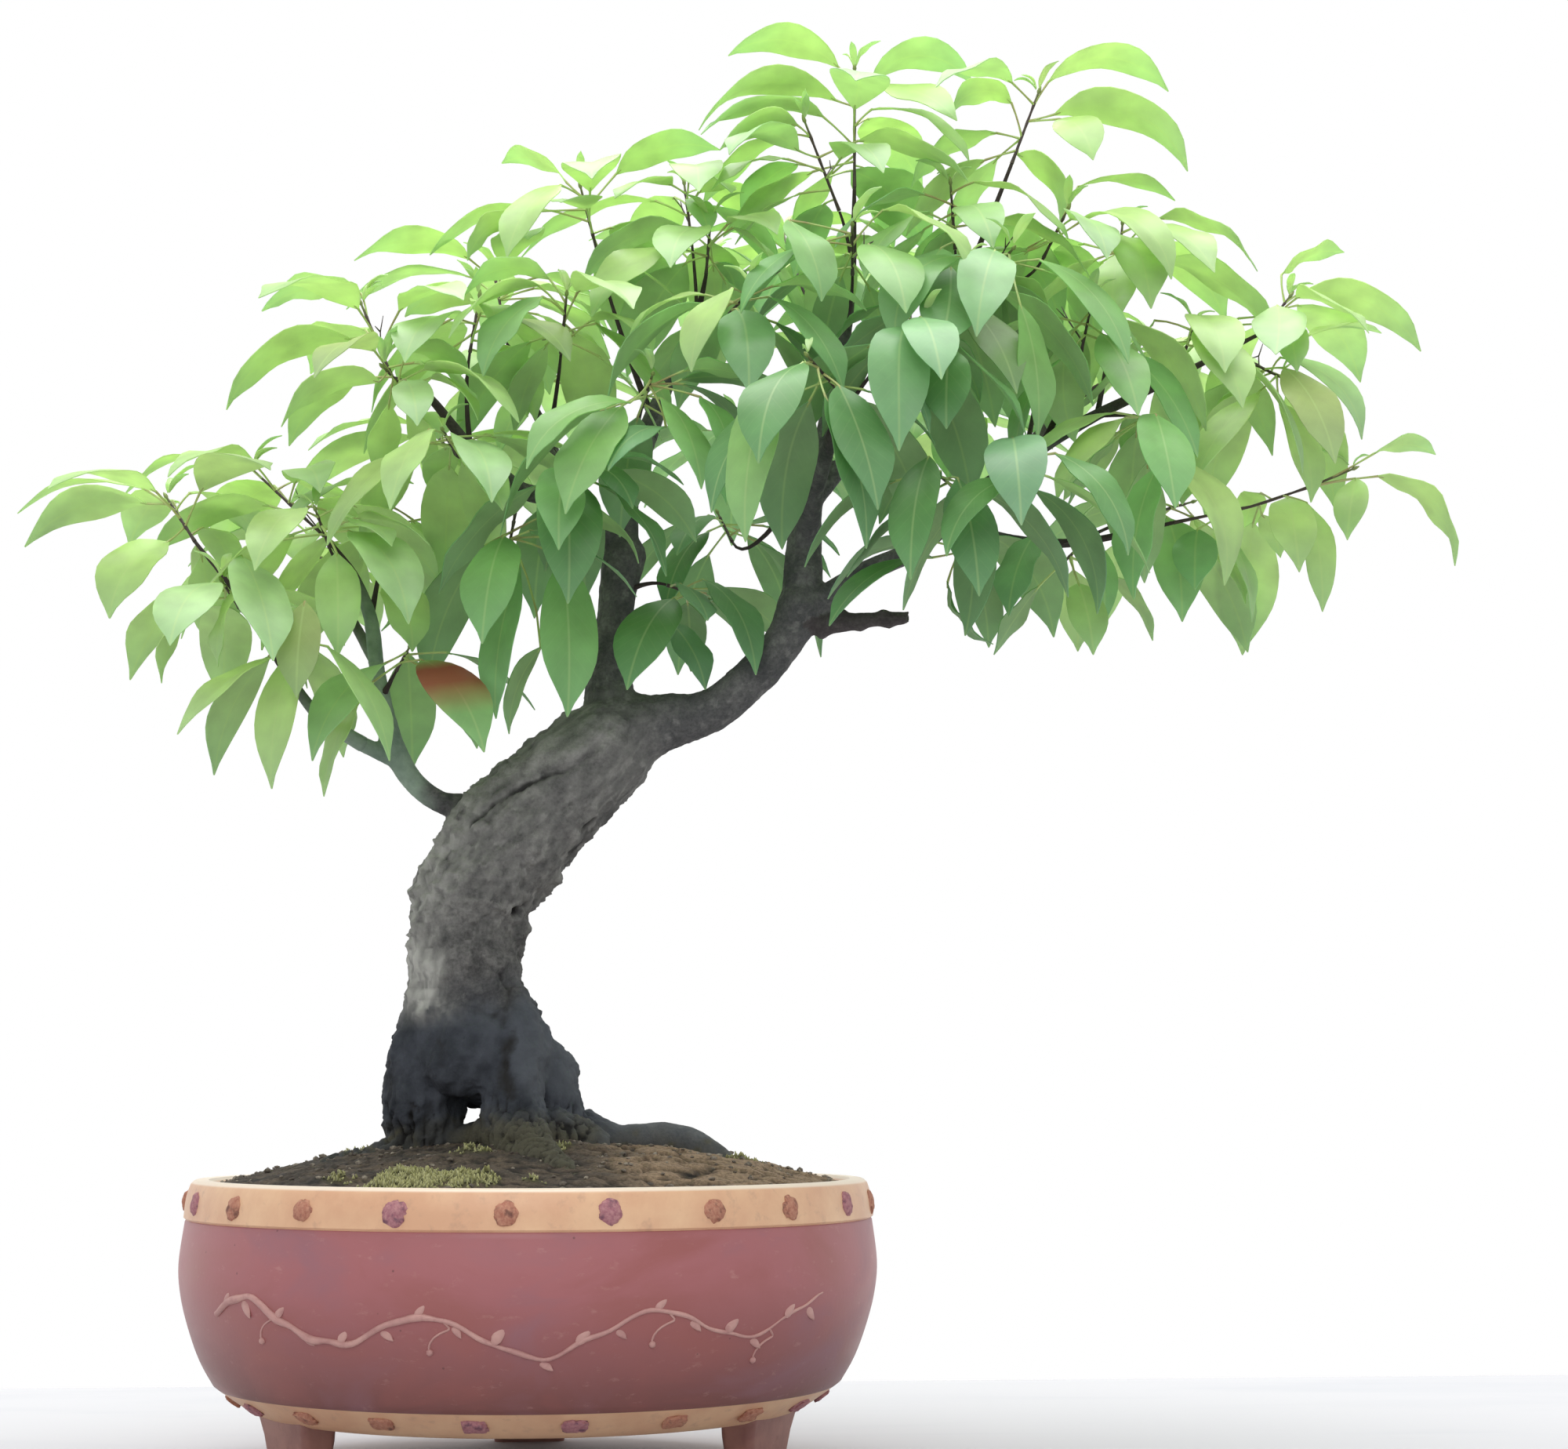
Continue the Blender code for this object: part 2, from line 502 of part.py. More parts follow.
def make_soil(wood_parts, material):
    """The packed ground, which rests on the pot's floor and is cut clear of the roots in it."""
    below = [(r - 0.4, z + 0.1) for r, z in POT_INSIDE[2:-1]] + [(107.6, FLOOR_Z + 0.5)]
    points = [Vector((0, 0, ground_height(0, 0)))]
    for r in SOIL_RINGS:
        for k in range(SOIL_SIDES):
            angle = math.tau * k / SOIL_SIDES
            x, y = r * math.sin(angle), -r * math.cos(angle)
            points.append(Vector((x, y, ground_height(x, y))))
    for r, z in below:
        for k in range(SOIL_SIDES):
            angle = math.tau * k / SOIL_SIDES
            points.append(Vector((r * math.sin(angle), -r * math.cos(angle), z)))
    faces = []
    for k in range(SOIL_SIDES):
        faces.append((0, 1 + k, 1 + (k + 1) % SOIL_SIDES))
    for ring in range(len(SOIL_RINGS) + len(below) - 1):
        a = 1 + ring * SOIL_SIDES
        b = a + SOIL_SIDES
        for k in range(SOIL_SIDES):
            m = (k + 1) % SOIL_SIDES
            faces.append((a + k, b + k, b + m, a + m))
    faces.append(tuple(reversed(range(len(points) - SOIL_SIDES, len(points)))))
    soil = make_object("soil", points, faces, material)
    combine(soil, [make_wood(ROOT_GAP, wood_parts, 0, material)], "DIFFERENCE", 2)
    shade_round(soil, 60)
    return soil


# Wood


def sides_for(radius):
    return 8 if radius > 9 else 6 if radius > 5 else 5 if radius > 3 else 4


def twig_path(limb, number, end, way):
    """A thin twig that leaves a limb and comes into its end along the shoot's direction."""
    x, y, z, radius = LIMBS[limb][number]
    start = Vector((x, y, z))
    end = Vector(end)
    length = (end - start).length
    bend = end - way.normalized() * 0.4 * length
    first = min(0.7 * radius, 2.4)
    path = []
    for share in (0.0, 0.45, 1.0):
        spot = start * (1 - share) ** 2 + bend * 2 * share * (1 - share) + end * share ** 2
        path.append((*spot, first + (SHOOT_RADIUS + 0.15 - first) * share))
    return path


def wood_tubes():
    """Every woody part as (path, sides, bark relief, last direction)."""
    last_ways = {}
    for limb, _number, end, shoot, _count, _leaves in SPRAYS:
        if end is None:
            first = shoot[0] if isinstance(shoot[0], tuple) else shoot
            last_ways[limb] = Vector(first) - Vector(LIMBS[limb][-1][:3])
    tubes = [(TRUNK, TRUNK_SIDES, 0.10, None)]
    for path in ROOTS.values():
        tubes.append((path, ROOT_SIDES, 0.12, None))
    for name, path in LIMBS.items():
        tubes.append((path, sides_for(path[0][3]), 0.05, last_ways.get(name)))
    for limb, number, end, shoot, _count, _leaves in SPRAYS:
        if end is not None:
            way = Vector(shoot) - Vector(end)
            tubes.append((twig_path(limb, number, end, way), 3, 0.0, way))
    return tubes


def make_wood(grow, tubes, flat, material):
    pieces = []
    for path, sides, relief, way in tubes:
        points, faces = tube(path, sides, relief, grow, way)
        pieces.append(make_object("wood", points, faces, material))
    combine(pieces[0], pieces[1:], "UNION", flat)
    return pieces[0]


# Leaves


def midrib(leaf):
    """Points along the blade's middle, with the direction at each."""
    spot = leaf["base"].copy()
    found = []
    step = leaf["length"] / LEAF_STEPS
    for j in range(LEAF_STEPS + 1):
        share = j / LEAF_STEPS
        found.append((spot.copy(), direction(leaf, share)))
        spot += direction(leaf, share + 0.5 / LEAF_STEPS) * step
    return found


def direction(leaf, share):
    rise = leaf["rise"][0] + (leaf["rise"][1] - leaf["rise"][0]) * share
    turn = leaf["turn"] + leaf["bend"] * (share - 0.5)
    return Vector((math.cos(rise) * math.cos(turn), math.cos(rise) * math.sin(turn), math.sin(rise)))


def canopy_top(x):
    """Height of the crown's surface above its long middle line."""
    return CANOPY_TOP - 0.0019 * (x - CANOPY_CREST) ** 2


def leaf_ring(centre, way, leaf, half_width, half_thick, fold):
    side = Vector((math.sin(leaf["turn"]), -math.cos(leaf["turn"]), 0.0))
    side = Matrix.Rotation(leaf["roll"], 3, way) @ side
    side = (side - way * side.dot(way)).normalized()
    up = side.cross(way)
    lift = up * math.sin(fold) * half_width
    reach = side * math.cos(fold) * half_width
    return [centre + reach + lift, centre - up * half_thick, centre - reach + lift, centre + up * half_thick]


def leaf_body(leaf, grow=0.0, from_stalk=True):
    """Points and triangles of one leaf: a thin stalk, then a folded blade that narrows to its tip."""
    line = midrib(leaf)
    base, first_way = line[0]
    stalk_way = (base - leaf["root"]).normalized()
    rings = []
    if from_stalk:
        rings.append(leaf_ring(leaf["root"], stalk_way, leaf, STALK_RADIUS + grow, STALK_RADIUS + grow, 0.0))
    rings.append(leaf_ring(base, first_way, leaf, STALK_RADIUS + 0.3 + grow, STALK_RADIUS + grow, 0.0))
    for j in LEAF_STATIONS:
        spot, way = line[j]
        half = 0.53 * leaf["width"] * LEAF_OUTLINE[j]
        rings.append(leaf_ring(spot, way, leaf, half + grow, 0.5 * LEAF_THICK + 0.7 * grow, leaf["fold"]))
    points = [p for ring in rings for p in ring]
    tip, last_way = line[-1]
    points.append(tip + last_way * grow)
    faces = [(3, 2, 1, 0)]
    for ring in range(len(rings) - 1):
        a = 4 * ring
        b = a + 4
        faces += [(a, a + 1, b + 1), (a, b + 1, b), (a + 1, a + 2, b + 1), (a + 2, b + 2, b + 1)]
        faces += [(a + 2, a + 3, b + 3), (a + 2, b + 3, b + 2), (a + 3, a, b + 3), (a, b, b + 3)]
    a = 4 * len(rings) - 4
    end = len(points) - 1
    for k in range(4):
        faces.append((a + k, a + (k + 1) % 4, end))
    return points, faces


class Solid:
    """A body's surface, kept for finding what it would cross."""

    def __init__(self, points, faces, owner):
        self.tree = BVHTree.FromPolygons(points, faces)
        self.low = [min(p[i] for p in points) for i in range(3)]
        self.high = [max(p[i] for p in points) for i in range(3)]
        self.owner = owner

    def meets(self, other):
        for i in range(3):
            if self.low[i] > other.high[i] or other.low[i] > self.high[i]:
                return False
        return bool(self.tree.overlap(other.tree))


def along(path, share):
    """Point at a share of a path's length."""
    lengths = [(b - a).length for a, b in zip(path, path[1:])]
    left = share * sum(lengths)
    for a, b, length in zip(path, path[1:], lengths):
        if left <= length:
            return a.lerp(b, left / length)
        left -= length
    return path[-1].copy()


def shoot_path(row):
    """The shoot's middle line: it starts a small gap beyond the twig's end."""
    limb, _number, end, shoot, _count, _leaves = row
    start = Vector(LIMBS[limb][-1][:3] if end is None else end)
    through = [Vector(p) for p in shoot] if isinstance(shoot[0], tuple) else [Vector(shoot)]
    way = (through[0] - start).normalized()
    return [start + way * GAP, *through]


def leaf_shares(count, length):
    """The places of a shoot's leaves, two to a level, and the level rings below and above each pair."""
    levels = (count + 1) // 2
    middles = [0.26 + 0.70 * (level + 0.5) / levels for level in range(levels)]
    half = 1.5 / length
    rings = [0.0] + [m + side * half for m in middles for side in (-1, 1)] + [1.0]
    return [middles[n // 2] for n in range(count)], rings


def shoot_rings(row):
    """Corner points of the shoot's three-sided rings, a pair of close rings for each level of leaves."""
    path = shoot_path(row)
    length = sum((b - a).length for a, b in zip(path, path[1:]))
    shares = leaf_shares(row[4] + len(row[5]), length)[1]
    centres = [along(path, share) for share in shares]
    side = (centres[1] - centres[0]).orthogonal().normalized()
    rings = []
    for i, (centre, share) in enumerate(zip(centres, shares)):
        way = (centres[min(i + 1, len(centres) - 1)] - centres[max(i - 1, 0)]).normalized()
        side = (side - way * side.dot(way)).normalized()
        across = way.cross(side)
        radius = SHOOT_RADIUS * (1.0 - 0.25 * share)
        ring = []
        for k in range(3):
            angle = math.tau * k / 3
            ring.append(centre + (side * math.cos(angle) + across * math.sin(angle)) * radius)
        rings.append(ring)
    return rings, centres[-1] + (centres[-1] - centres[-2]).normalized() * 4.0


def shoot_body(row, used=()):
    """Points and faces of a shoot with its end bud, without the faces that leaves grow from."""
    rings, bud = shoot_rings(row)
    points = [p for ring in rings for p in ring] + [bud]
    faces = [(2, 1, 0)]
    for i in range(len(rings) - 1):
        for k in range(3):
            if (i, k) not in used:
                faces.append(shoot_face(i, k))
    last = 3 * len(rings) - 3
    faces += [(last + k, last + (k + 1) % 3, last + 3) for k in range(3)]
    return points, faces


def shoot_face(ring, k):
    a, m = 3 * ring, (k + 1) % 3
    return a + k, a + m, a + 3 + m, a + 3 + k


def spray_body(row, leaves):
    """A shoot with each leaf drawn out of a face of its own, as one closed body."""
    points = shoot_body(row)[0]
    used = {}
    for leaf in leaves:
        ring = 1 + 2 * (leaf["slot"] // 2)
        way = leaf["base"] - leaf["root"]
        facing = []
        for k in range(3):
            a, b, _c, d = (points[n] for n in shoot_face(ring, k))
            facing.append(((b - a).cross(d - a).normalized().dot(way), k))
        for _value, k in sorted(facing, reverse=True):
            if (ring, k) not in used:
                used[ring, k] = leaf
                break
    points, faces = shoot_body(row, used)
    for (ring, k), leaf in used.items():
        root = shoot_face(ring, k)
        start = len(points)
        more, triangles = leaf_body(leaf, 0.0, False)
        root_middle = sum((points[n] for n in root), Vector()) / 4
        base_middle = sum(more[:4], Vector()) / 4
        turns = []
        for turn in range(4):
            match = 0.0
            for n in range(4):
                corner = points[root[(n + turn) % 4]] - root_middle
                match += corner.normalized().dot((more[n] - base_middle).normalized())
            turns.append((match, turn))
        turn = max(turns)[1]
        for n in range(4):
            a, b = root[(n + turn) % 4], root[(n + 1 + turn) % 4]
            faces.append((a, b, start + (n + 1) % 4, start + n))
        faces += [tuple(start + n for n in triangle) for triangle in triangles[1:]]
        points += more
    return points, faces


def shown_leaf(rng, path, share, row, attempt):
    """A leaf with a given base and tip, turned a little more at each new attempt."""
    base, tip, arch, width = row
    base, tip = Vector(base), Vector(tip)
    chord = tip - base
    root = along(path, share)
    half_turn = 2 * math.atan(2 * arch / chord.length)
    loose = 0.012 * attempt
    middle = math.asin(chord.z / chord.length) + rng.uniform(-1, 1) * loose
    return {
        "root": root, "base": base,
        "turn": math.atan2(chord.y, chord.x) + rng.uniform(-1, 1) * 2 * loose,
        "rise": (middle + half_turn, middle - half_turn),
        "length": chord.length * half_turn / math.sin(half_turn), "width": width,
        "roll": rng.uniform(-0.15, 0.15) + rng.uniform(-1, 1) * loose,
        "bend": rng.uniform(-0.15, 0.15), "fold": rng.uniform(0.16, 0.3),
    }


def ruled_leaf(rng, path, share, number, attempt):
    """A leaf at its place in the spiral along the shoot, by the light that it gets."""
    tip = path[-1]
    root = along(path, share)
    out = tip - CANOPY_MIDDLE
    top = canopy_top(tip.x) - 0.0035 * tip.y ** 2
    hang = min(1.0, max(0.0, 0.12 + (top - tip.z) / 110.0)) * (1.0 - 0.3 * share)
    spread = (number * GOLDEN_ANGLE + 0.8) % math.tau - math.pi
    loose = 0.05 + 0.012 * attempt
    turn = math.atan2(out.y, out.x) + 0.8 * spread + rng.uniform(-1, 1) * 3 * loose
    climb = math.radians(38 - 62 * hang) + rng.uniform(-1, 1) * 3 * loose
    stalk = rng.uniform(17, 26) * (1.0 - 0.25 * share)
    base = root + stalk * Vector((math.cos(climb) * math.cos(turn), math.cos(climb) * math.sin(turn),
                                  math.sin(climb)))
    length = LEAF_LENGTH * rng.uniform(0.88, 1.1) * (1.0 - 0.2 * share ** 3)
    if attempt > TRIES // 2:
        length *= 0.85
    start = math.radians(24 - 62 * hang) + rng.uniform(-1, 1) * 2 * loose
    stop = math.radians(-38 - 46 * hang) + rng.uniform(-1, 1) * 2 * loose
    return {
        "root": root, "base": base, "turn": turn, "rise": (start, stop), "length": length,
        "width": length * rng.uniform(0.42, 0.49), "roll": rng.uniform(-0.35, 0.35),
        "bend": rng.uniform(-0.35, 0.35), "fold": rng.uniform(0.14, 0.32),
    }


def leaf_order(row, path):
    """Which place on the shoot each leaf takes: the shown ones the nearest to their blades."""
    limb, _number, _end, _shoot, count, shown = row
    total = count + len(shown)
    length = sum((b - a).length for a, b in zip(path, path[1:]))
    shares = leaf_shares(total, length)[0]
    free = list(range(total))
    order = []
    for base, _tip, _arch, _width in shown:
        aim = Vector(base) - Vector((0, 0, 6))
        slot = min(free, key=lambda n: ((along(path, shares[n]) - aim).length, n))
        free.remove(slot)
        order.append(slot)
    return order + free, shares


def grow_leaves(tubes):
    """The leaves of every shoot, each clear of the wood and of the leaves before it."""
    paths = [shoot_path(row) for row in SPRAYS]
    orders = [leaf_order(row, path) for row, path in zip(SPRAYS, paths)]
    stems = [Solid(*shoot_body(row), i) for i, row in enumerate(SPRAYS)]
    fixed = [Solid(*tube(path, sides, relief, 0.0, way), -1) for path, sides, relief, way in tubes]
    leaves = [[] for _row in SPRAYS]
    whole, blades = [], []

    def fits(leaf, owner):
        body = Solid(*leaf_body(leaf, 0.5 * LEAF_CLEARANCE), owner)
        blade = Solid(*leaf_body(leaf, 0.5 * LEAF_CLEARANCE, False), owner)
        for other in fixed:
            if body.meets(other):
                return False
        for other in stems:
            if (blade if other.owner == owner else body).meets(other):
                return False
        for other, other_blade in zip(whole, blades):
            if other.owner != owner:
                if body.meets(other):
                    return False
            elif body.meets(other_blade) or blade.meets(other):
                return False
        return True

    def place(owner, number, make):
        order, shares = orders[owner]
        slot = order[number]
        for attempt in range(TRIES):
            rng = random.Random(100000 * owner + 1000 * number + attempt)
            leaf = make(rng, paths[owner], shares[slot], attempt)
            leaf["slot"] = slot
            if fits(leaf, owner):
                leaves[owner].append(leaf)
                whole.append(Solid(*leaf_body(leaf), owner))
                blades.append(Solid(*leaf_body(leaf, 0.0, False), owner))
                return

    for i, row in enumerate(SPRAYS):
        for n, shown in enumerate(row[5]):
            place(i, n, lambda rng, path, share, k, s=shown: shown_leaf(rng, path, share, s, k))
    for i, row in enumerate(SPRAYS):
        for n in range(len(row[5]), len(row[5]) + row[4]):
            place(i, n, lambda rng, path, share, k, m=n: ruled_leaf(rng, path, share, m, k))
    return leaves


def make_sprays(tubes, materials):
    sprays = []
    for i, (row, leaves) in enumerate(zip(SPRAYS, grow_leaves(tubes))):
        tip = shoot_path(row)[-1]
        depth = canopy_top(tip.x) - tip.z
        tone = "leaf_young" if depth < YOUNG_DEPTH else "leaf_mid" if depth < MID_DEPTH else "leaf_shade"
        spray = make_object(f"spray_{i + 1:02d}", *spray_body(row, leaves), materials[tone])
        shade_round(spray, 40)
        sprays.append(spray)
    return sprays


def main():
    for thing in list(bpy.data.objects):
        bpy.data.objects.remove(thing)
    materials = {name: make_material(name) for name in COLOURS}
    tubes = wood_tubes()
    pieces = [make_pot(materials["glaze"])]
    low_tubes = [part for part in tubes if min(p[2] for p in part[0]) < LOW_WOOD]
    pieces.append(make_soil(low_tubes, materials["soil"]))
    wood = make_wood(0.0, tubes, 4, materials["bark"])
    shade_round(wood, 70)
    pieces.append(wood)
    pieces += make_sprays(tubes, materials)
    corners = [v.co for piece in pieces for v in piece.data.vertices]
    middle = Vector((
        (min(c.x for c in corners) + max(c.x for c in corners)) / 2,
        (min(c.y for c in corners) + max(c.y for c in corners)) / 2,
        min(c.z for c in corners),
    ))
    for piece in pieces:
        piece.data.transform(Matrix.Translation(-middle))


main()
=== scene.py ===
import math
import random

import bmesh
import bpy
from mathutils import Matrix, Vector, kdtree
from mathutils.bvhtree import BVHTree
from mathutils.noise import noise, noise_vector, seed_set, voronoi


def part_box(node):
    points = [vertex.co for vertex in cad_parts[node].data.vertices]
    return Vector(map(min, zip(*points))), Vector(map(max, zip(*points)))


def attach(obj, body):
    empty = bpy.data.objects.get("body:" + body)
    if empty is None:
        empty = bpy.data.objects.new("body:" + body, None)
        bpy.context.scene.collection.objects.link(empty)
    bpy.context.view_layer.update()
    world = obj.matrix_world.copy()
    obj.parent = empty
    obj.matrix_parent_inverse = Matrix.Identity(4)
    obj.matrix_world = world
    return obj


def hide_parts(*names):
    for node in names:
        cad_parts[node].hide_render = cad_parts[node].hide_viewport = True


seed_set(7)  # without it noise_vector starts from another place at each run
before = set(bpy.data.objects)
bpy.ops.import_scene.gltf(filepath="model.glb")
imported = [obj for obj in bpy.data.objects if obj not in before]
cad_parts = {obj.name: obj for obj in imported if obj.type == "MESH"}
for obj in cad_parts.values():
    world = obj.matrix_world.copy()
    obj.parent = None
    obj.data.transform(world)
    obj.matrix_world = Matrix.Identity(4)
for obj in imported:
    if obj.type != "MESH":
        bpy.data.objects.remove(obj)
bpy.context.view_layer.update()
print("frame loaded:", len(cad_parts), "nodes")

# All sizes are in millimetres round the pot's axis, with the table at z = 0, the tree's right at +X
# and its front at -Y. A finished piece is moved into the frame's metres.
mm = 0.001
potLow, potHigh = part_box("pot")
potAxis = Vector(((potLow.x + potHigh.x) / 2, (potLow.y + potHigh.y) / 2, potLow.z))
intoFrame = Matrix.Translation(potAxis) @ Matrix.Scale(mm, 4)


# Small helpers

def addNode(tree, kind, settings=None):
    # a shader node; a setting is a socket's name or number, with a value or what feeds it, a property,
    # or a ramp's stops
    node = tree.nodes.new("ShaderNode" + kind)
    for key, value in (settings or {}).items():
        if isinstance(value, (bpy.types.Node, bpy.types.NodeSocket)):
            feed(tree, node, key, value)
        elif key == "stops":
            ramp = node.color_ramp
            while len(ramp.elements) < len(value):
                ramp.elements.new(0.5)
            for element, (place, colour) in zip(ramp.elements, value):
                element.position = place
                element.color = hexColour(colour) if isinstance(colour, str) else (*[colour] * 3, 1)
        elif isinstance(key, int) or key in node.inputs:
            node.inputs[key].default_value = value
        else:
            setattr(node, key, value)
    return node


def feed(tree, node, key, source):
    # links a node's socket to another socket, or to a node's first output
    tree.links.new(getattr(source, "outputs", [source])[0], node.inputs[key])


def hexColour(code):
    # sRGB hex to Blender's linear colour
    parts = [int(code[i:i + 2], 16) / 255 for i in (1, 3, 5)]
    return (*[p / 12.92 if p <= 0.04045 else ((p + 0.055) / 1.055) ** 2.4 for p in parts], 1)


def perMm(size):
    # a texture's scale on Object coordinates, for features of this many millimetres
    return 1 / (size * mm)


def newMaterial(name, settings):
    material = bpy.data.materials.new(name)
    material.use_nodes = True
    shader = material.node_tree.nodes["Principled BSDF"]
    for socket, value in settings.items():
        shader.inputs[socket].default_value = value
    return material, material.node_tree, shader


def mixColours(tree, share, first, second, blend="MIX"):
    # two colours, each a hex code or a socket, by a share that is a socket or a number
    settings = {"data_type": "RGBA", "blend_type": blend, 0: share, 6: first, 7: second}
    for key in (6, 7):
        if isinstance(settings[key], str):
            settings[key] = hexColour(settings[key])
    return addNode(tree, "Mix", settings).outputs[2]


def layOver(tree, below, above, source, low, high, most=1.0, least=0.0):
    # one colour over another, from the least share to the most as the source goes from low to high
    share = addNode(tree, "MapRange", {1: low, 2: high, 3: least, 4: most, 0: source})
    return mixColours(tree, share, below, above)


def readMarks(tree, name):
    # the three values that a mesh keeps at its points under this name
    marks = addNode(tree, "Attribute", {"attribute_name": name}).outputs["Vector"]
    return addNode(tree, "SeparateXYZ", {0: marks}).outputs


def finishSurface(tree, shader, colour, height, strength, depth):
    # the surface's colour, and its fine relief of this many millimetres
    bump = addNode(tree, "Bump", {"Strength": strength, "Distance": depth * mm, "Height": height})
    feed(tree, shader, "Base Color", colour)
    feed(tree, shader, "Normal", bump)


def toMesh(name, shape):
    mesh = bpy.data.meshes.new(name)
    shape.to_mesh(mesh)
    shape.free()
    return mesh


def addObject(name, data):
    thing = bpy.data.objects.new(name, data)
    bpy.context.scene.collection.objects.link(thing)
    return thing


def finishPiece(name, shape, materials, nodes=(), sharp=60):
    bmesh.ops.transform(shape, matrix=intoFrame, verts=shape.verts[:])
    mesh = toMesh(name, shape)
    for material in materials:
        mesh.materials.append(material)
    mesh.shade_smooth()
    mesh.set_sharp_from_angle(angle=math.radians(sharp))
    piece = addObject(name, mesh)
    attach(piece, "root")
    if nodes:
        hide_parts(*nodes)
    return piece


def lerp(table, x):
    # straight-line value at x in rows of (x, value)
    for (x0, y0), (x1, y1) in zip(table, table[1:]):
        if x <= x1:
            return y0 + (y1 - y0) * max(0.0, x - x0) / (x1 - x0)
    return table[-1][1]


def smoothStep(low, high, x):
    share = min(1.0, max(0.0, (x - low) / (high - low)))
    return share * share * (3 - 2 * share)


def smoothLine(points, step):
    # a rounded line through points of any number of values, with about this much between its places
    rows = [Vector(p) for p in points]
    line = []
    for i in range(len(rows) - 1):
        before, a, b = rows[max(i - 1, 0)], rows[i], rows[i + 1]
        after = rows[min(i + 2, len(rows) - 1)]
        count = max(1, round((Vector(b[:3]) - Vector(a[:3])).length / step))
        for k in range(count):
            t = k / count
            line.append(0.5 * (2 * a + (b - before) * t + (2 * before - 5 * a + 4 * b - after) * t ** 2
                               + (3 * a - before - 3 * b + after) * t ** 3))
    return line + [rows[-1]]


def sweepTube(shape, path, sides, lastWay=None):
    # a closed tube through (x, y, z, radius): one circle, extruded from place to place
    centres = [Vector(p[:3]) for p in path]
    places, side = [], None
    for i, centre in enumerate(centres):
        way = (centres[min(i + 1, len(centres) - 1)] - centres[max(i - 1, 0)]).normalized()
        if lastWay is not None and i == len(centres) - 1:
            way = lastWay.normalized()
        side = way.orthogonal() if side is None else side - way * side.dot(way)
        side.normalize()
        turned = Matrix((side, way.cross(side), way)).transposed().to_4x4()
        places.append(Matrix.Translation(centre) @ turned @ Matrix.Scale(path[i][3], 4))
    ring = bmesh.ops.create_circle(shape, cap_ends=True, segments=sides, radius=1, matrix=places[0])["verts"]
    made = list(ring)
    edges = list({edge for vert in ring for edge in vert.link_edges})
    for last, place in zip(places, places[1:]):
        grown = bmesh.ops.extrude_edge_only(shape, edges=edges)["geom"]
        ring = [part for part in grown if isinstance(part, bmesh.types.BMVert)]
        edges = [part for part in grown if isinstance(part, bmesh.types.BMEdge)]
        edges = [edge for edge in edges if edge.verts[0] in ring and edge.verts[1] in ring]
        bmesh.ops.transform(shape, matrix=place @ last.inverted(), verts=ring)
        made += ring
    bmesh.ops.contextual_create(shape, geom=edges)
    return made


# Stage: a pale table in a white studio, brightest behind the tree and dimmer in front of it and below

stageSettings = {
    "cameraPlace": (0.0, -1312.196, 168.0),
    "cameraRise": 7.485,  # degrees above level
    "cameraTurn": -5.032,  # degrees to the right
    "lens": 64.8,
    "tableBack": 390.0,  # the table's far edge, behind the pot's axis
    "tableSides": 2600.0,
    "tableThick": 30.0,
    "skyBehind": 1.0, "skyFront": 0.58, "skyBelow": 0.6,  # the studio's white, by direction
    "tableColour": "#C5C5C8",
    "tableWear": "#BFC0C4",
}
# name, place, what it points at, size and watts
stageLamps = (
    ("skyAbove", (150, 250, 1900), (0, 0, 350), 1500, 41),
    ("windowFront", (-250, -1700, 1300), (0, 0, 250), 1000, 9),
)


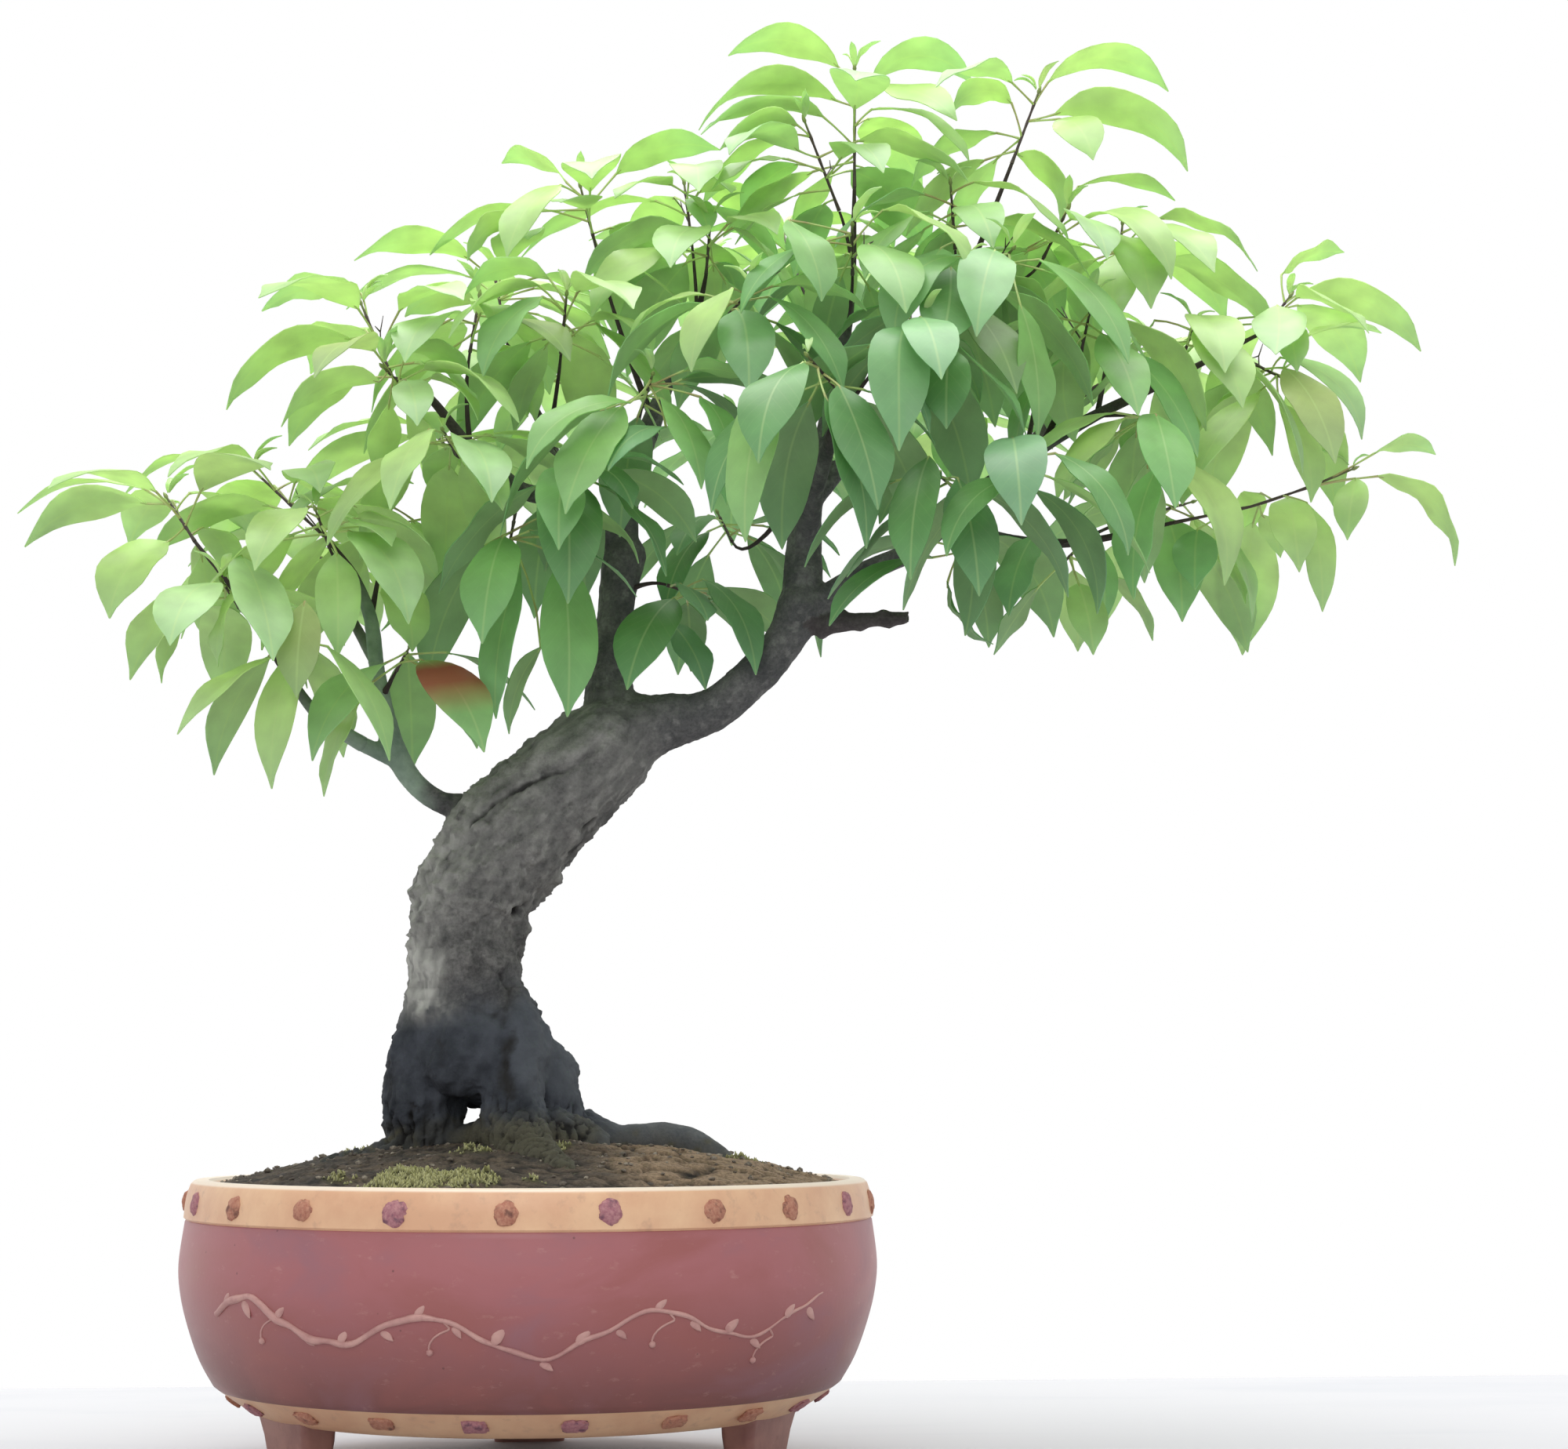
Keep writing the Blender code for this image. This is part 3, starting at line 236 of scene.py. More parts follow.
def makeStage(settings):
    camera = addObject("camera", bpy.data.cameras.new("camera"))
    camera.data.lens = settings["lens"]
    camera.location = intoFrame @ Vector(settings["cameraPlace"])
    camera.rotation_euler = (math.radians(90 + settings["cameraRise"]), 0,
                             math.radians(settings["cameraTurn"]))
    bpy.context.scene.camera = camera
    world = bpy.data.worlds.new("sky")
    world.use_nodes = True
    studio = world.node_tree
    way = addNode(studio, "TexCoord").outputs["Generated"]
    parts = addNode(studio, "SeparateXYZ", {0: way}).outputs
    around = addNode(studio, "MapRange",
                     {1: -0.3, 2: 0.5, 3: settings["skyFront"], 4: settings["skyBehind"], 0: parts[1]})
    above = addNode(studio, "MapRange", {1: -0.35, 2: -0.16, 3: settings["skyBelow"], 4: 1.0, 0: parts[2]})
    power = addNode(studio, "Math", {"operation": "MULTIPLY", 0: around, 1: above})
    studio.nodes["Background"].inputs["Color"].default_value = (1, 1, 1, 1)
    feed(studio, studio.nodes["Background"], "Strength", power)
    bpy.context.scene.world = world
    bpy.context.scene.view_settings.view_transform = "Standard"
    for name, place, aim, size, watts in stageLamps:
        lamp = addObject(name, bpy.data.lights.new(name, "AREA"))
        lamp.data.size = size * mm
        lamp.data.energy = watts
        lamp.location = intoFrame @ Vector(place)
        lamp.rotation_euler = (Vector(place) - Vector(aim)).to_track_quat("Z", "Y").to_euler()
    # painted board: a flat matt coat with faint grey wipe marks along it
    material, tree, shader = newMaterial("paintedBoard", {"Roughness": 0.75, "Specular IOR Level": 0.2})
    place = addNode(tree, "TexCoord").outputs["Object"]
    stretched = addNode(tree, "Mapping", {"Scale": (0.3, 1.0, 1.0), "Vector": place})
    marks = addNode(tree, "TexNoise",
                    {"Scale": perMm(90), "Detail": 5.0, "Roughness": 0.6, "Distortion": 0.8,
                     "Vector": stretched})
    worn = addNode(tree, "ValToRGB", {"stops": ((0.5, 0.0), (0.72, 1.0)), 0: marks})
    colour = mixColours(tree, worn, settings["tableColour"], settings["tableWear"])
    feed(tree, shader, "Base Color", colour)
    board = bmesh.new()
    bmesh.ops.create_cube(board, size=1)
    half, back, thick = settings["tableSides"], settings["tableBack"], settings["tableThick"]
    bmesh.ops.scale(board, vec=(2 * half, half + back, thick), verts=board.verts[:])
    bmesh.ops.translate(board, vec=(0, (back - half) / 2, -thick / 2), verts=board.verts[:])
    bmesh.ops.bevel(board, geom=board.edges[:], offset=3, segments=3, profile=0.5, affect="EDGES",
                    material=-1)
    bmesh.ops.transform(board, matrix=intoFrame, verts=board.verts[:])
    table = addObject("table", toMesh("table", board))
    table.data.materials.append(material)


makeStage(stageSettings)
print("stage set")


# Pot: a round bowl on three feet, with two rows of buttons

potSizes = {
    "turns": 144,  # steps round the wall
    "floor": 34.4, "drain": 11.0,
    # outside from the underside's edge up, as (radius, height): lower band, belly, upper band
    "lowerBand": ((106.0, 27.2), (118.0, 27.9), (125.5, 30.4), (139.4, 39.8)),
    "belly": ((141.2, 41.2), (147.4, 52.0), (152.6, 66.0), (156.2, 80.0), (157.4, 94.0), (155.2, 112.4)),
    "groove": (154.6, 113.2),
    "upperBand": ((155.8, 114.2), (155.0, 122.0), (153.0, 128.8), (150.8, 130.6)),
    "inside": ((145.2, 130.6), (143.6, 128.6), (147.6, 104.0), (146.4, 74.0), (134.0, 48.0), (108.0, 34.4)),
    "profileStep": 3.0,
}
# count, first one's turn in degrees, the wall's radius and height there, half width and height,
# how far it stands out, and its lean in degrees
buttonRows = {
    "upper": (22, -4.0, 154.9, 121.0, 5.5, 5.3, 2.0, -9.0),
    "lower": (20, -9.4, 132.6, 34.6, 5.9, 4.3, 1.3, 54.0),
}
buttonWear = {"shift": 0.8, "lumps": 0.16, "detail": 0.1, "pits": 0.16}
purpleButtons = {"upper": (1, 4, 6, 8, 9, 12, 14, 16, 18, 21), "lower": (0, 1, 4, 5, 8, 11, 13, 14, 17)}
footSizes = {
    "turns": (-60.0, 60.0, 180.0),
    # from the table up: height, inner radius, outer radius, half width
    "rows": ((0.0, 108.0, 118.5, 17.0), (22.0, 106.0, 121.5, 21.0), (33.0, 106.5, 124.0, 23.5)),
    "round": 3.4,
}
potColours = {
    "belly": ("#7C4D49", "#A9676A", "#AA6A6D"),  # low (darker, partly the glaze and partly painted shade where the belly turns down), above the middle, under the band
    "bellyDrift": "#916A76", "bellyWarm": "#9C5A54",
    "band": ("#DCAC89", "#EBC39C"),
    # rim colour: the pale glaze break on the top edge, and a painted highlight there
    "bandStain": "#C49A80", "rim": "#F6E6D2",
    "button": (("#9E6370", "#BE8B8C"), ("#A96A57", "#C69279")), "buttonDirt": ("#5A3B50", "#633F38"),
    "foot": ("#A27468", "#8B5F58"),
    "clay": ("#9C705C", "#7E5848"),
    "slip": ("#C79A92", "#B48480"),
}


def finishGlaze(tree, shader, colour, place, fine, depth):
    # a fired glaze's faint orange peel
    peel = addNode(tree, "TexNoise", {"Scale": perMm(fine), "Detail": 3.0, "Vector": place})
    finishSurface(tree, shader, colour, peel, depth, 0.4)


def bellyGlaze(colours):
    # rose glazed stoneware, dipped and fired: a smooth satin skin, with soft drifts of hue that ran level
    material, tree, shader = newMaterial("roseGlaze",
                                         {"Roughness": 0.42, "IOR": 1.45, "Coat Weight": 0.1,
                                          "Coat Roughness": 0.2})
    place = addNode(tree, "TexCoord").outputs["Object"]
    height = addNode(tree, "SeparateXYZ", {0: place}).outputs["Z"]
    # darker towards the bottom: partly the glaze's own colour, partly painted shade where the belly turns
    # down
    level = addNode(tree, "MapRange", {1: 40 * mm, 2: 112 * mm, 0: height})
    low, middle, high = colours["belly"]
    ramp = addNode(tree, "ValToRGB", {"stops": ((0.0, low), (0.68, middle), (1.0, high)), 0: level})
    flat = addNode(tree, "Mapping", {"Scale": (1.0, 1.0, 2.2), "Vector": place})
    drift = addNode(tree, "TexNoise",
                    {"Scale": perMm(75), "Detail": 5.0, "Roughness": 0.55, "Distortion": 0.6, "Vector": flat})
    colour = layOver(tree, ramp, colours["bellyDrift"], drift, 0.5, 0.7, 0.6)
    colour = layOver(tree, colour, colours["bellyWarm"], drift, 0.48, 0.32, 0.6)
    stains = addNode(tree, "TexNoise", {"Scale": perMm(9), "Detail": 6.0, "Roughness": 0.7, "Vector": flat})
    colour = layOver(tree, colour, colours["slip"][0], stains, 0.6, 0.75, 0.35)
    # pinholes where gas left the glaze, about one a square centimetre
    holes = addNode(tree, "TexVoronoi", {"Scale": perMm(11), "Vector": place})
    colour = layOver(tree, colour, "#5A3A3A", holes, 0.035, 0.055, 0.0, 0.6)
    sheen = addNode(tree, "MapRange", {1: 0.3, 2: 0.7, 3: 0.36, 4: 0.54, 0: drift})
    feed(tree, shader, "Roughness", sheen)
    finishGlaze(tree, shader, colour, place, 2.2, 0.12)
    return material


def plainGlaze(name, colours, stain, roughness, size, fine=2.0, depth=0.15, rim=None):
    # a thinner brushed glaze: satin, with paler and darker passes and some staining
    material, tree, shader = newMaterial(name, {"Roughness": roughness, "IOR": 1.5})
    place = addNode(tree, "TexCoord").outputs["Object"]
    drift = addNode(tree, "TexNoise",
                    {"Scale": perMm(size), "Detail": 5.0, "Roughness": 0.6, "Vector": place})
    ramp = addNode(tree, "ValToRGB", {"stops": ((0.38, colours[0]), (0.66, colours[1])), 0: drift})
    spots = addNode(tree, "TexNoise", {"Scale": perMm(7), "Detail": 6.0, "Roughness": 0.65, "Vector": place})
    colour = layOver(tree, ramp, stain, spots, 0.56, 0.74, 0.7)
    if rim:  # the glaze drew back from the top edge and left it pale; the pale line is also a painted highlight on that edge
        height = addNode(tree, "SeparateXYZ", {0: place}).outputs["Z"]
        colour = layOver(tree, colour, rim, height, 128.9 * mm, 129.7 * mm, 0.9)
    finishGlaze(tree, shader, colour, place, fine, depth)
    return material


def makePot(sizes, colours):
    materials = [bellyGlaze(colours),
                 plainGlaze("peachGlaze", colours["band"], colours["bandStain"], 0.4, 34, rim=colours["rim"]),
                 plainGlaze("bareClay", colours["clay"], "#6E4C40", 0.85, 12, 0.9, 0.5),
                 plainGlaze("footGlaze", colours["foot"], "#7A4C48", 0.45, 18),]
    glaze, peach, clay, foot = range(4)
    profile = [Vector((sizes["drain"], 0, sizes["lowerBand"][0][1]))]
    for rows, step in ((sizes["lowerBand"], sizes["profileStep"]), (sizes["belly"], sizes["profileStep"]),
                       ((sizes["groove"],) * 2, 9.0), (sizes["upperBand"], 1.2), (sizes["inside"], 6.0)):
        profile += smoothLine([(r, 0, z) for r, z in rows], step)
    profile.append(Vector((sizes["drain"], 0, sizes["floor"])))
    pot = bmesh.new()
    corners = [pot.verts.new(p) for p in profile]
    for i, corner in enumerate(corners):
        if corner.co != corners[i - 1].co:
            pot.edges.new((corners[i - 1], corner))
    bmesh.ops.spin(pot, geom=pot.verts[:] + pot.edges[:], cent=(0, 0, 0), axis=(0, 0, 1), angle=math.tau,
                   steps=sizes["turns"], use_merge=True)
    bmesh.ops.remove_doubles(pot, verts=pot.verts[:], dist=0.001)
    bmesh.ops.recalc_face_normals(pot, faces=pot.faces[:])
    bands = [(27.3, clay), (40.4, peach), (113.4, glaze), (200.0, peach)]
    for face in pot.faces:
        centre = face.calc_center_median()
        radius = math.hypot(centre.x, centre.y)
        inner = face.normal.x * centre.x + face.normal.y * centre.y < -0.2 * radius and centre.z < 128
        flat = radius < 104 or (centre.z < 36 and face.normal.z > 0.6)
        face.material_index = clay if inner or flat else next(f for top, f in bands if centre.z < top)
    for turn in footSizes["turns"]:
        addFoot(pot, footSizes, turn, foot)
    return finishPiece("bowl", pot, materials, ["pot"], 38)


def addFoot(pot, sizes, turn, finish):
    # a tapered block: a cube set to the foot's lowest and highest rows, cut at the middle row and rounded
    cube = bmesh.ops.create_cube(pot, size=1)["verts"]
    rows = sizes["rows"]
    for vert in cube:
        z, inner, outer, half = rows[-1] if vert.co.z > 0 else rows[0]
        vert.co = (half if vert.co.x > 0 else -half, -outer if vert.co.y < 0 else -inner, z)
    geom = list({g for vert in cube for g in (vert, *vert.link_edges, *vert.link_faces)})
    z, inner, outer, half = rows[1]
    cut = bmesh.ops.bisect_plane(pot, geom=geom, plane_co=(0, 0, z), plane_no=(0, 0, 1))["geom_cut"]
    middle = [part for part in cut if isinstance(part, bmesh.types.BMVert)]
    for vert in middle:
        out = vert.co.y < -0.5 * (inner + outer)
        vert.co = (half if vert.co.x > 0 else -half, -outer if out else -inner, z)
    verts = list(set(cube) | set(middle))
    posts = [edge for edge in {e for v in verts for e in v.link_edges}
             if abs(edge.verts[0].co.z - edge.verts[1].co.z) > 5]
    made = bmesh.ops.bevel(pot, geom=posts, offset=sizes["round"], segments=5, profile=0.5, affect="EDGES",
                           material=-1)
    verts = list({v for v in verts if v.is_valid} | set(made["verts"]))
    for face in {f for v in verts for f in v.link_faces}:
        face.material_index = finish
    bmesh.ops.rotate(pot, cent=(0, 0, 0), matrix=Matrix.Rotation(math.radians(turn), 3, "Z"), verts=verts)


def makeButtons(name, row, wear, purple, materials, square, seed):
    # pressed-on knobs of rough clay, each a little different
    count, first, radius, z, halfWide, halfHigh, proud, lean = row
    draw = random.Random(seed)
    knobs = bmesh.new()
    for i in range(count):
        made = bmesh.ops.create_uvsphere(knobs, u_segments=22, v_segments=14, radius=1)["verts"]
        if square:  # draws the ball out towards a block
            for vert in made:
                vert.co = vert.co.lerp(vert.co / max(abs(c) for c in vert.co) * 0.9, 0.6)
        wide, high = halfWide * draw.uniform(0.92, 1.06), halfHigh * draw.uniform(0.92, 1.06)
        shift = Vector((draw.random(), draw.random(), draw.random())) * 90
        for vert in made:
            spot = vert.co + shift
            lump = wear["lumps"] * noise(spot * 1.5) + wear["detail"] * noise(spot * 4.2)
            lump -= wear["pits"] * smoothStep(0.22, 0.5, noise(spot * 3.1 + Vector((5, 5, 5))))
            vert.co *= 1 + lump
        bmesh.ops.scale(knobs, vec=(wide, proud + 0.5, high), verts=made)
        turn = math.radians(first + 360 * i / count + wear["shift"] * draw.uniform(-1, 1))
        level = z + 0.5 * wear["shift"] * draw.uniform(-1, 1)
        place = Matrix.Rotation(turn, 4, "Z") @ Matrix.Translation((0, -radius + 0.5, level))
        bmesh.ops.transform(knobs, matrix=place @ Matrix.Rotation(math.radians(lean), 4, "X"), verts=made)
        for face in {f for v in made for f in v.link_faces}:
            face.material_index = 0 if i in purple else 1
    bmesh.ops.recalc_face_normals(knobs, faces=knobs.faces[:])
    return finishPiece(name, knobs, materials, [], 60)


def buttonClay(name, tones, dirt):
    # coarse clay knobs left unglazed: dry and gritty, with dark spots of glaze and dirt
    material, tree, shader = newMaterial(name, {"Roughness": 0.78})
    place = addNode(tree, "TexCoord").outputs["Object"]
    grit = addNode(tree, "TexNoise", {"Scale": perMm(1.8), "Detail": 5.0, "Roughness": 0.7, "Vector": place})
    uneven = addNode(tree, "MapRange", {1: 0.35, 2: 0.65, 0: grit})
    clay = mixColours(tree, uneven, *tones)
    spots = addNode(tree, "TexNoise", {"Scale": perMm(4), "Detail": 4.0, "Vector": place})
    dark = addNode(tree, "MapRange", {1: 0.55, 2: 0.68, 4: 0.75, 0: spots})
    finishSurface(tree, shader, mixColours(tree, dark, clay, dirt), grit, 0.9, 0.6)
    return material


vineSizes = {
    "from": -58.0, "to": 52.0,  # degrees round the wall from the front
    "level": 74.0, "swing": 7.5, "wave": 34.0,  # height, how far it winds, degrees for one bend
    "thick": (1.7, 0.6),  # the stem's radius at its root and its end
    "leaf": (4.6, 2.1, 0.75),  # half length, half width, how proud
    "every": 6.2,  # degrees between leaves
}


def wallRadius(z):
    return lerp([(height, radius) for radius, height in potSizes["belly"]], z)


def onWall(turn, z, out=0.0):
    # a place on the belly at this turn in degrees and this height
    radius = wallRadius(z) + out
    return Vector((radius * math.sin(math.radians(turn)), -radius * math.cos(math.radians(turn)), z))


def makeVine(sizes, colours):
    # a trailing vine drawn on with a thick pale slip before glazing
    slip = plainGlaze("paleSlip", colours["slip"], "#A87472", 0.5, 14, 1.4, 0.3)
    vine = bmesh.new()
    draw = random.Random(71)

    def stemPlace(turn, offset=0.0):
        bend = math.tau * (turn - sizes["from"]) / sizes["wave"]
        height = sizes["level"] + sizes["swing"] * math.sin(bend) + 3.0 * math.sin(0.37 * bend + 1)
        height += 2.2 * noise(Vector((turn / 5.0, 4.0, 1.0)))
        return onWall(turn, height + offset, 0.1)

    count = 110
    thick, thin = sizes["thick"]
    path = []
    for i in range(count + 1):
        share = i / count
        turn = sizes["from"] + (sizes["to"] - sizes["from"]) * share
        uneven = 1 + 0.5 * noise(Vector((turn / 3.1, 0.3, 8.0)))
        path.append((*stemPlace(turn), (thick + (thin - thick) * share) * uneven))
    sweepTube(vine, path, 7)
    turn, side = sizes["from"] + 3, 1
    long, wide, proud = sizes["leaf"]
    while turn < sizes["to"]:
        size = draw.uniform(0.75, 1.1)
        lean = side * draw.uniform(35, 60)
        made = bmesh.ops.create_uvsphere(vine, u_segments=12, v_segments=6, radius=1)["verts"]
        for vert in made:
            vert.co.z *= max(0.0, 1 - vert.co.x) ** 0.35  # a blunt base and a pointed tip
        bmesh.ops.scale(vine, vec=(long * size, proud, wide * size), verts=made)
        bmesh.ops.rotate(vine, cent=(0, 0, 0), matrix=Matrix.Rotation(math.radians(-lean), 3, "Y"),
                         verts=made)
        reach = Vector((math.cos(math.radians(lean)), 0, math.sin(math.radians(lean)))) * long * size
        base = stemPlace(turn)
        middle = onWall(turn + math.degrees(reach.x / wallRadius(base.z)), base.z + reach.z)
        bmesh.ops.rotate(vine, cent=(0, 0, 0), matrix=Matrix.Rotation(math.radians(turn), 3, "Z"), verts=made)
        bmesh.ops.translate(vine, vec=middle, verts=made)
        turn += sizes["every"] * draw.uniform(0.8, 1.25)
        side = -side
    for start in (-44, -13, 21, 40):  # short curled tendrils that end in a berry
        path = []
        for i in range(15):
            share = i / 14
            curl = 5.2 * share
            height = 5.0 + 6.5 * share + 1.6 * math.sin(curl * 1.4)
            path.append((*onWall(start + 2.6 * math.sin(curl) * share, stemPlace(start).z - height * share,
                                 0.1), 0.55))
        sweepTube(vine, path, 6)
        berry = bmesh.ops.create_icosphere(vine, subdivisions=2, radius=1.5)["verts"]
        bmesh.ops.translate(vine, vec=Vector(path[-1][:3]), verts=berry)
    bmesh.ops.recalc_face_normals(vine, faces=vine.faces[:])
    return finishPiece("slipVine", vine, [slip], [], 60)


makePot(potSizes, potColours)
buttonClays = [buttonClay(name, tones, dirt) for name, tones, dirt in
               zip(("purpleButtonClay", "brownButtonClay"), potColours["button"], potColours["buttonDirt"])]
makeButtons("upperButtons", buttonRows["upper"], buttonWear, purpleButtons["upper"], buttonClays, False, 11)
makeButtons("lowerButtons", buttonRows["lower"], buttonWear, purpleButtons["lower"], buttonClays, True, 12)
makeVine(vineSizes, potColours)
print("pot made")


# The tree's growth: where its wood runs and where its leaves stand

# woody parts as points (x, y, z, radius)
trunkLine = (
    (-26, 0, 164, 13), (-24, 0, 170, 31), (-24, 0, 187, 35), (-29, 0, 205, 29.5), (-31, 0, 221, 26.6),
    (-32, 0, 237, 26.2), (-30, 0, 250, 26.6), (-25, 0, 265, 27.6), (-15, 0, 282, 28.2),
    (1, 0, 300, 27.2), (19, 0, 317, 25.4), (34, 0, 331, 23.6), (44, 0, 341, 17.0),
)
rootLines = {
    "leftLeg": ((-38, 0, 222, 17), (-43, 0, 198, 18), (-49, -1, 180, 18.5), (-50.5, -1, 163, 18.6),
                 (-49, -1, 146, 15.5), (-49, -1, 120, 11)),
    "rightLeg": ((-20, 2, 214, 13), (-8, 1, 198, 14.5), (2, 0, 182, 16.2), (6, 0, 165, 16.4),
                  (7, 2, 148, 15), (8, 2, 120, 11)),
    "frontLeg": ((-14, -10, 212, 13), (-10, -20, 190, 14), (-9, -27, 170, 14), (-8, -32, 155, 14),
                  (-3, -50, 144, 12), (6, -72, 138, 9), (16, -96, 131, 6), (22, -112, 122, 3.5)),
    "backLeftLeg": ((-36, 10, 208, 15), (-43, 22, 186, 14), (-47, 31, 162, 12.5), (-48, 38, 142, 11),
                      (-48, 40, 120, 8)),
    "backRightLeg": ((-12, 12, 208, 15), (-3, 24, 186, 14), (0, 33, 162, 12.5), (3, 40, 142, 11),
                       (4, 42, 120, 8)),
    "rightRoot": ((8, 2, 154, 12), (24, 3, 150, 10.5), (40, 3, 147, 8.4), (56, 1, 147.5, 8.2),
                   (70, -2, 146, 8.4), (82, -5, 140, 7), (98, -9, 130, 4)),
    "leftRoot": ((-52, -3, 146, 11), (-68, -10, 139.5, 7), (-86, -16, 136, 6), (-104, -22, 129, 4)),
    "bridgeRoot": ((-45, -4, 145, 8), (-28, -9, 147.5, 8.5), (-12, -17, 151, 12), (10, -18, 149, 13),
                    (32, -12, 142, 9)),
    "backRoot": ((-46, 36, 152, 10), (-40, 58, 144, 8), (-34, 82, 138, 6), (-28, 102, 128, 4)),
}
limbLines = {
    "A": ((28, 0, 322, 15), (36, 0, 340, 16.5), (33, 4, 358, 11.2), (35, 8, 380, 9.0), (37, 12, 403, 8.8),
          (40, 14, 424, 10.6), (41, 15, 432, 6.5)),
    "A1": ((39, 13, 418, 6.5), (34, 12, 432, 6.6), (24, 9, 441, 5.4), (10, 4, 448, 4.7), (-11, 0, 452, 4.1),
           (-33, -6, 470, 3.0), (-53, -6, 494, 2.3), (-70, -6, 503, 1.5)),
    "A2": ((39, 13, 418, 6.5), (41, 15, 432, 6.2), (42, 18, 450, 5.3), (46, 20, 474, 4.4), (53, 20, 493, 3.7),
           (64, 15, 516, 3.0), (74, 5, 540, 2.3), (78, 0, 558, 1.5)),
    "A2b": ((42, 18, 450, 4.2), (54, 60, 491, 3.4), (68, 95, 537, 2.6), (85, 120, 577, 1.5)),
    "A3": ((10, 4, 448, 3.8), (4, 40, 485, 3.1), (-12, 60, 522, 2.3), (-20, 60, 553, 1.5)),
    "B": ((28, 0, 325, 15), (44, -2, 336, 17.5), (60, -4, 341, 13.4), (80, -8, 346, 10.6),
          (98, -12, 360, 9.6), (114, -14, 378, 9.4), (122, -16, 396, 11.0), (124, -16, 404, 7)),
    "B1": ((118, -15, 388, 8), (123, -14, 406, 9.4), (124, -10, 424, 8.8), (126, -4, 443, 7.4),
           (132, 0, 467, 5.2), (140, 4, 503, 4.0), (146, 6, 535, 3.1), (149, 4, 565, 2.4),
           (150, 2, 604, 1.5)),
    "B1b": ((124, -10, 424, 6.2), (126, -50, 445, 4.2), (129, -85, 459, 2.8), (131, -105, 475, 1.6)),
    "B1c": ((126, -4, 445, 5.2), (154, 5, 480, 3.8), (181, 5, 516, 3.0), (199, -2, 549, 2.5),
            (213, -8, 583, 1.9), (225, -10, 614, 1.5)),
    "B1d": ((127, -4, 449, 4.6), (140, 60, 485, 3.9), (158, 110, 522, 3.0), (175, 150, 558, 1.6)),
    "B2": ((117, -15, 387, 6), (128, -17, 394, 7.0), (150, -24, 409, 5.6), (170, -30, 418, 4.8),
           (187, -36, 430, 4.4), (207, -40, 449, 3.7), (233, -38, 468, 3.3), (261, -30, 486, 2.9),
           (294, -20, 504, 2.3), (327, -10, 523, 1.9), (349, 0, 536, 1.5)),
    "B2b": ((187, -36, 430, 3.5), (220, -30, 425, 2.9), (255, -20, 427, 2.4), (301, -10, 439, 1.5)),
    "B2c": ((187, -36, 430, 3.5), (194, -75, 437, 2.5), (202, -95, 440, 1.6)),
    "B2d": ((207, -40, 449, 3.0), (238, 30, 484, 2.9), (268, 80, 517, 2.3), (296, 100, 539, 1.5)),
    "B3": ((119, -15, 386, 5.0), (136, -20, 386, 5.0), (152, -26, 387, 3.6), (171, -34, 387, 3.2)),
    "C": ((-20, 0, 296, 7), (-33, 0, 300, 6.6), (-45, -2, 303, 5.2), (-56, -4, 311, 5.1), (-64, -6, 323, 5.4),
          (-69, -8, 336, 5.1), (-72, -8, 350, 4.4), (-75, -6, 367, 3.7), (-78, -4, 388, 3.2),
          (-87, 0, 410, 2.5), (-98, 0, 425, 1.6)),
    "C1": ((-65, -6, 322, 4.2), (-80, -12, 328, 3.7), (-91, -20, 334, 3.3), (-102, -28, 342, 2.9),
           (-115, -34, 360, 2.5), (-128, -38, 381, 2.1), (-141, -36, 399, 1.8), (-157, -24, 419, 1.4)),
    "Cb": ((-75, -6, 367, 3.0), (-89, 35, 394, 2.5), (-102, 60, 421, 1.6)),
}

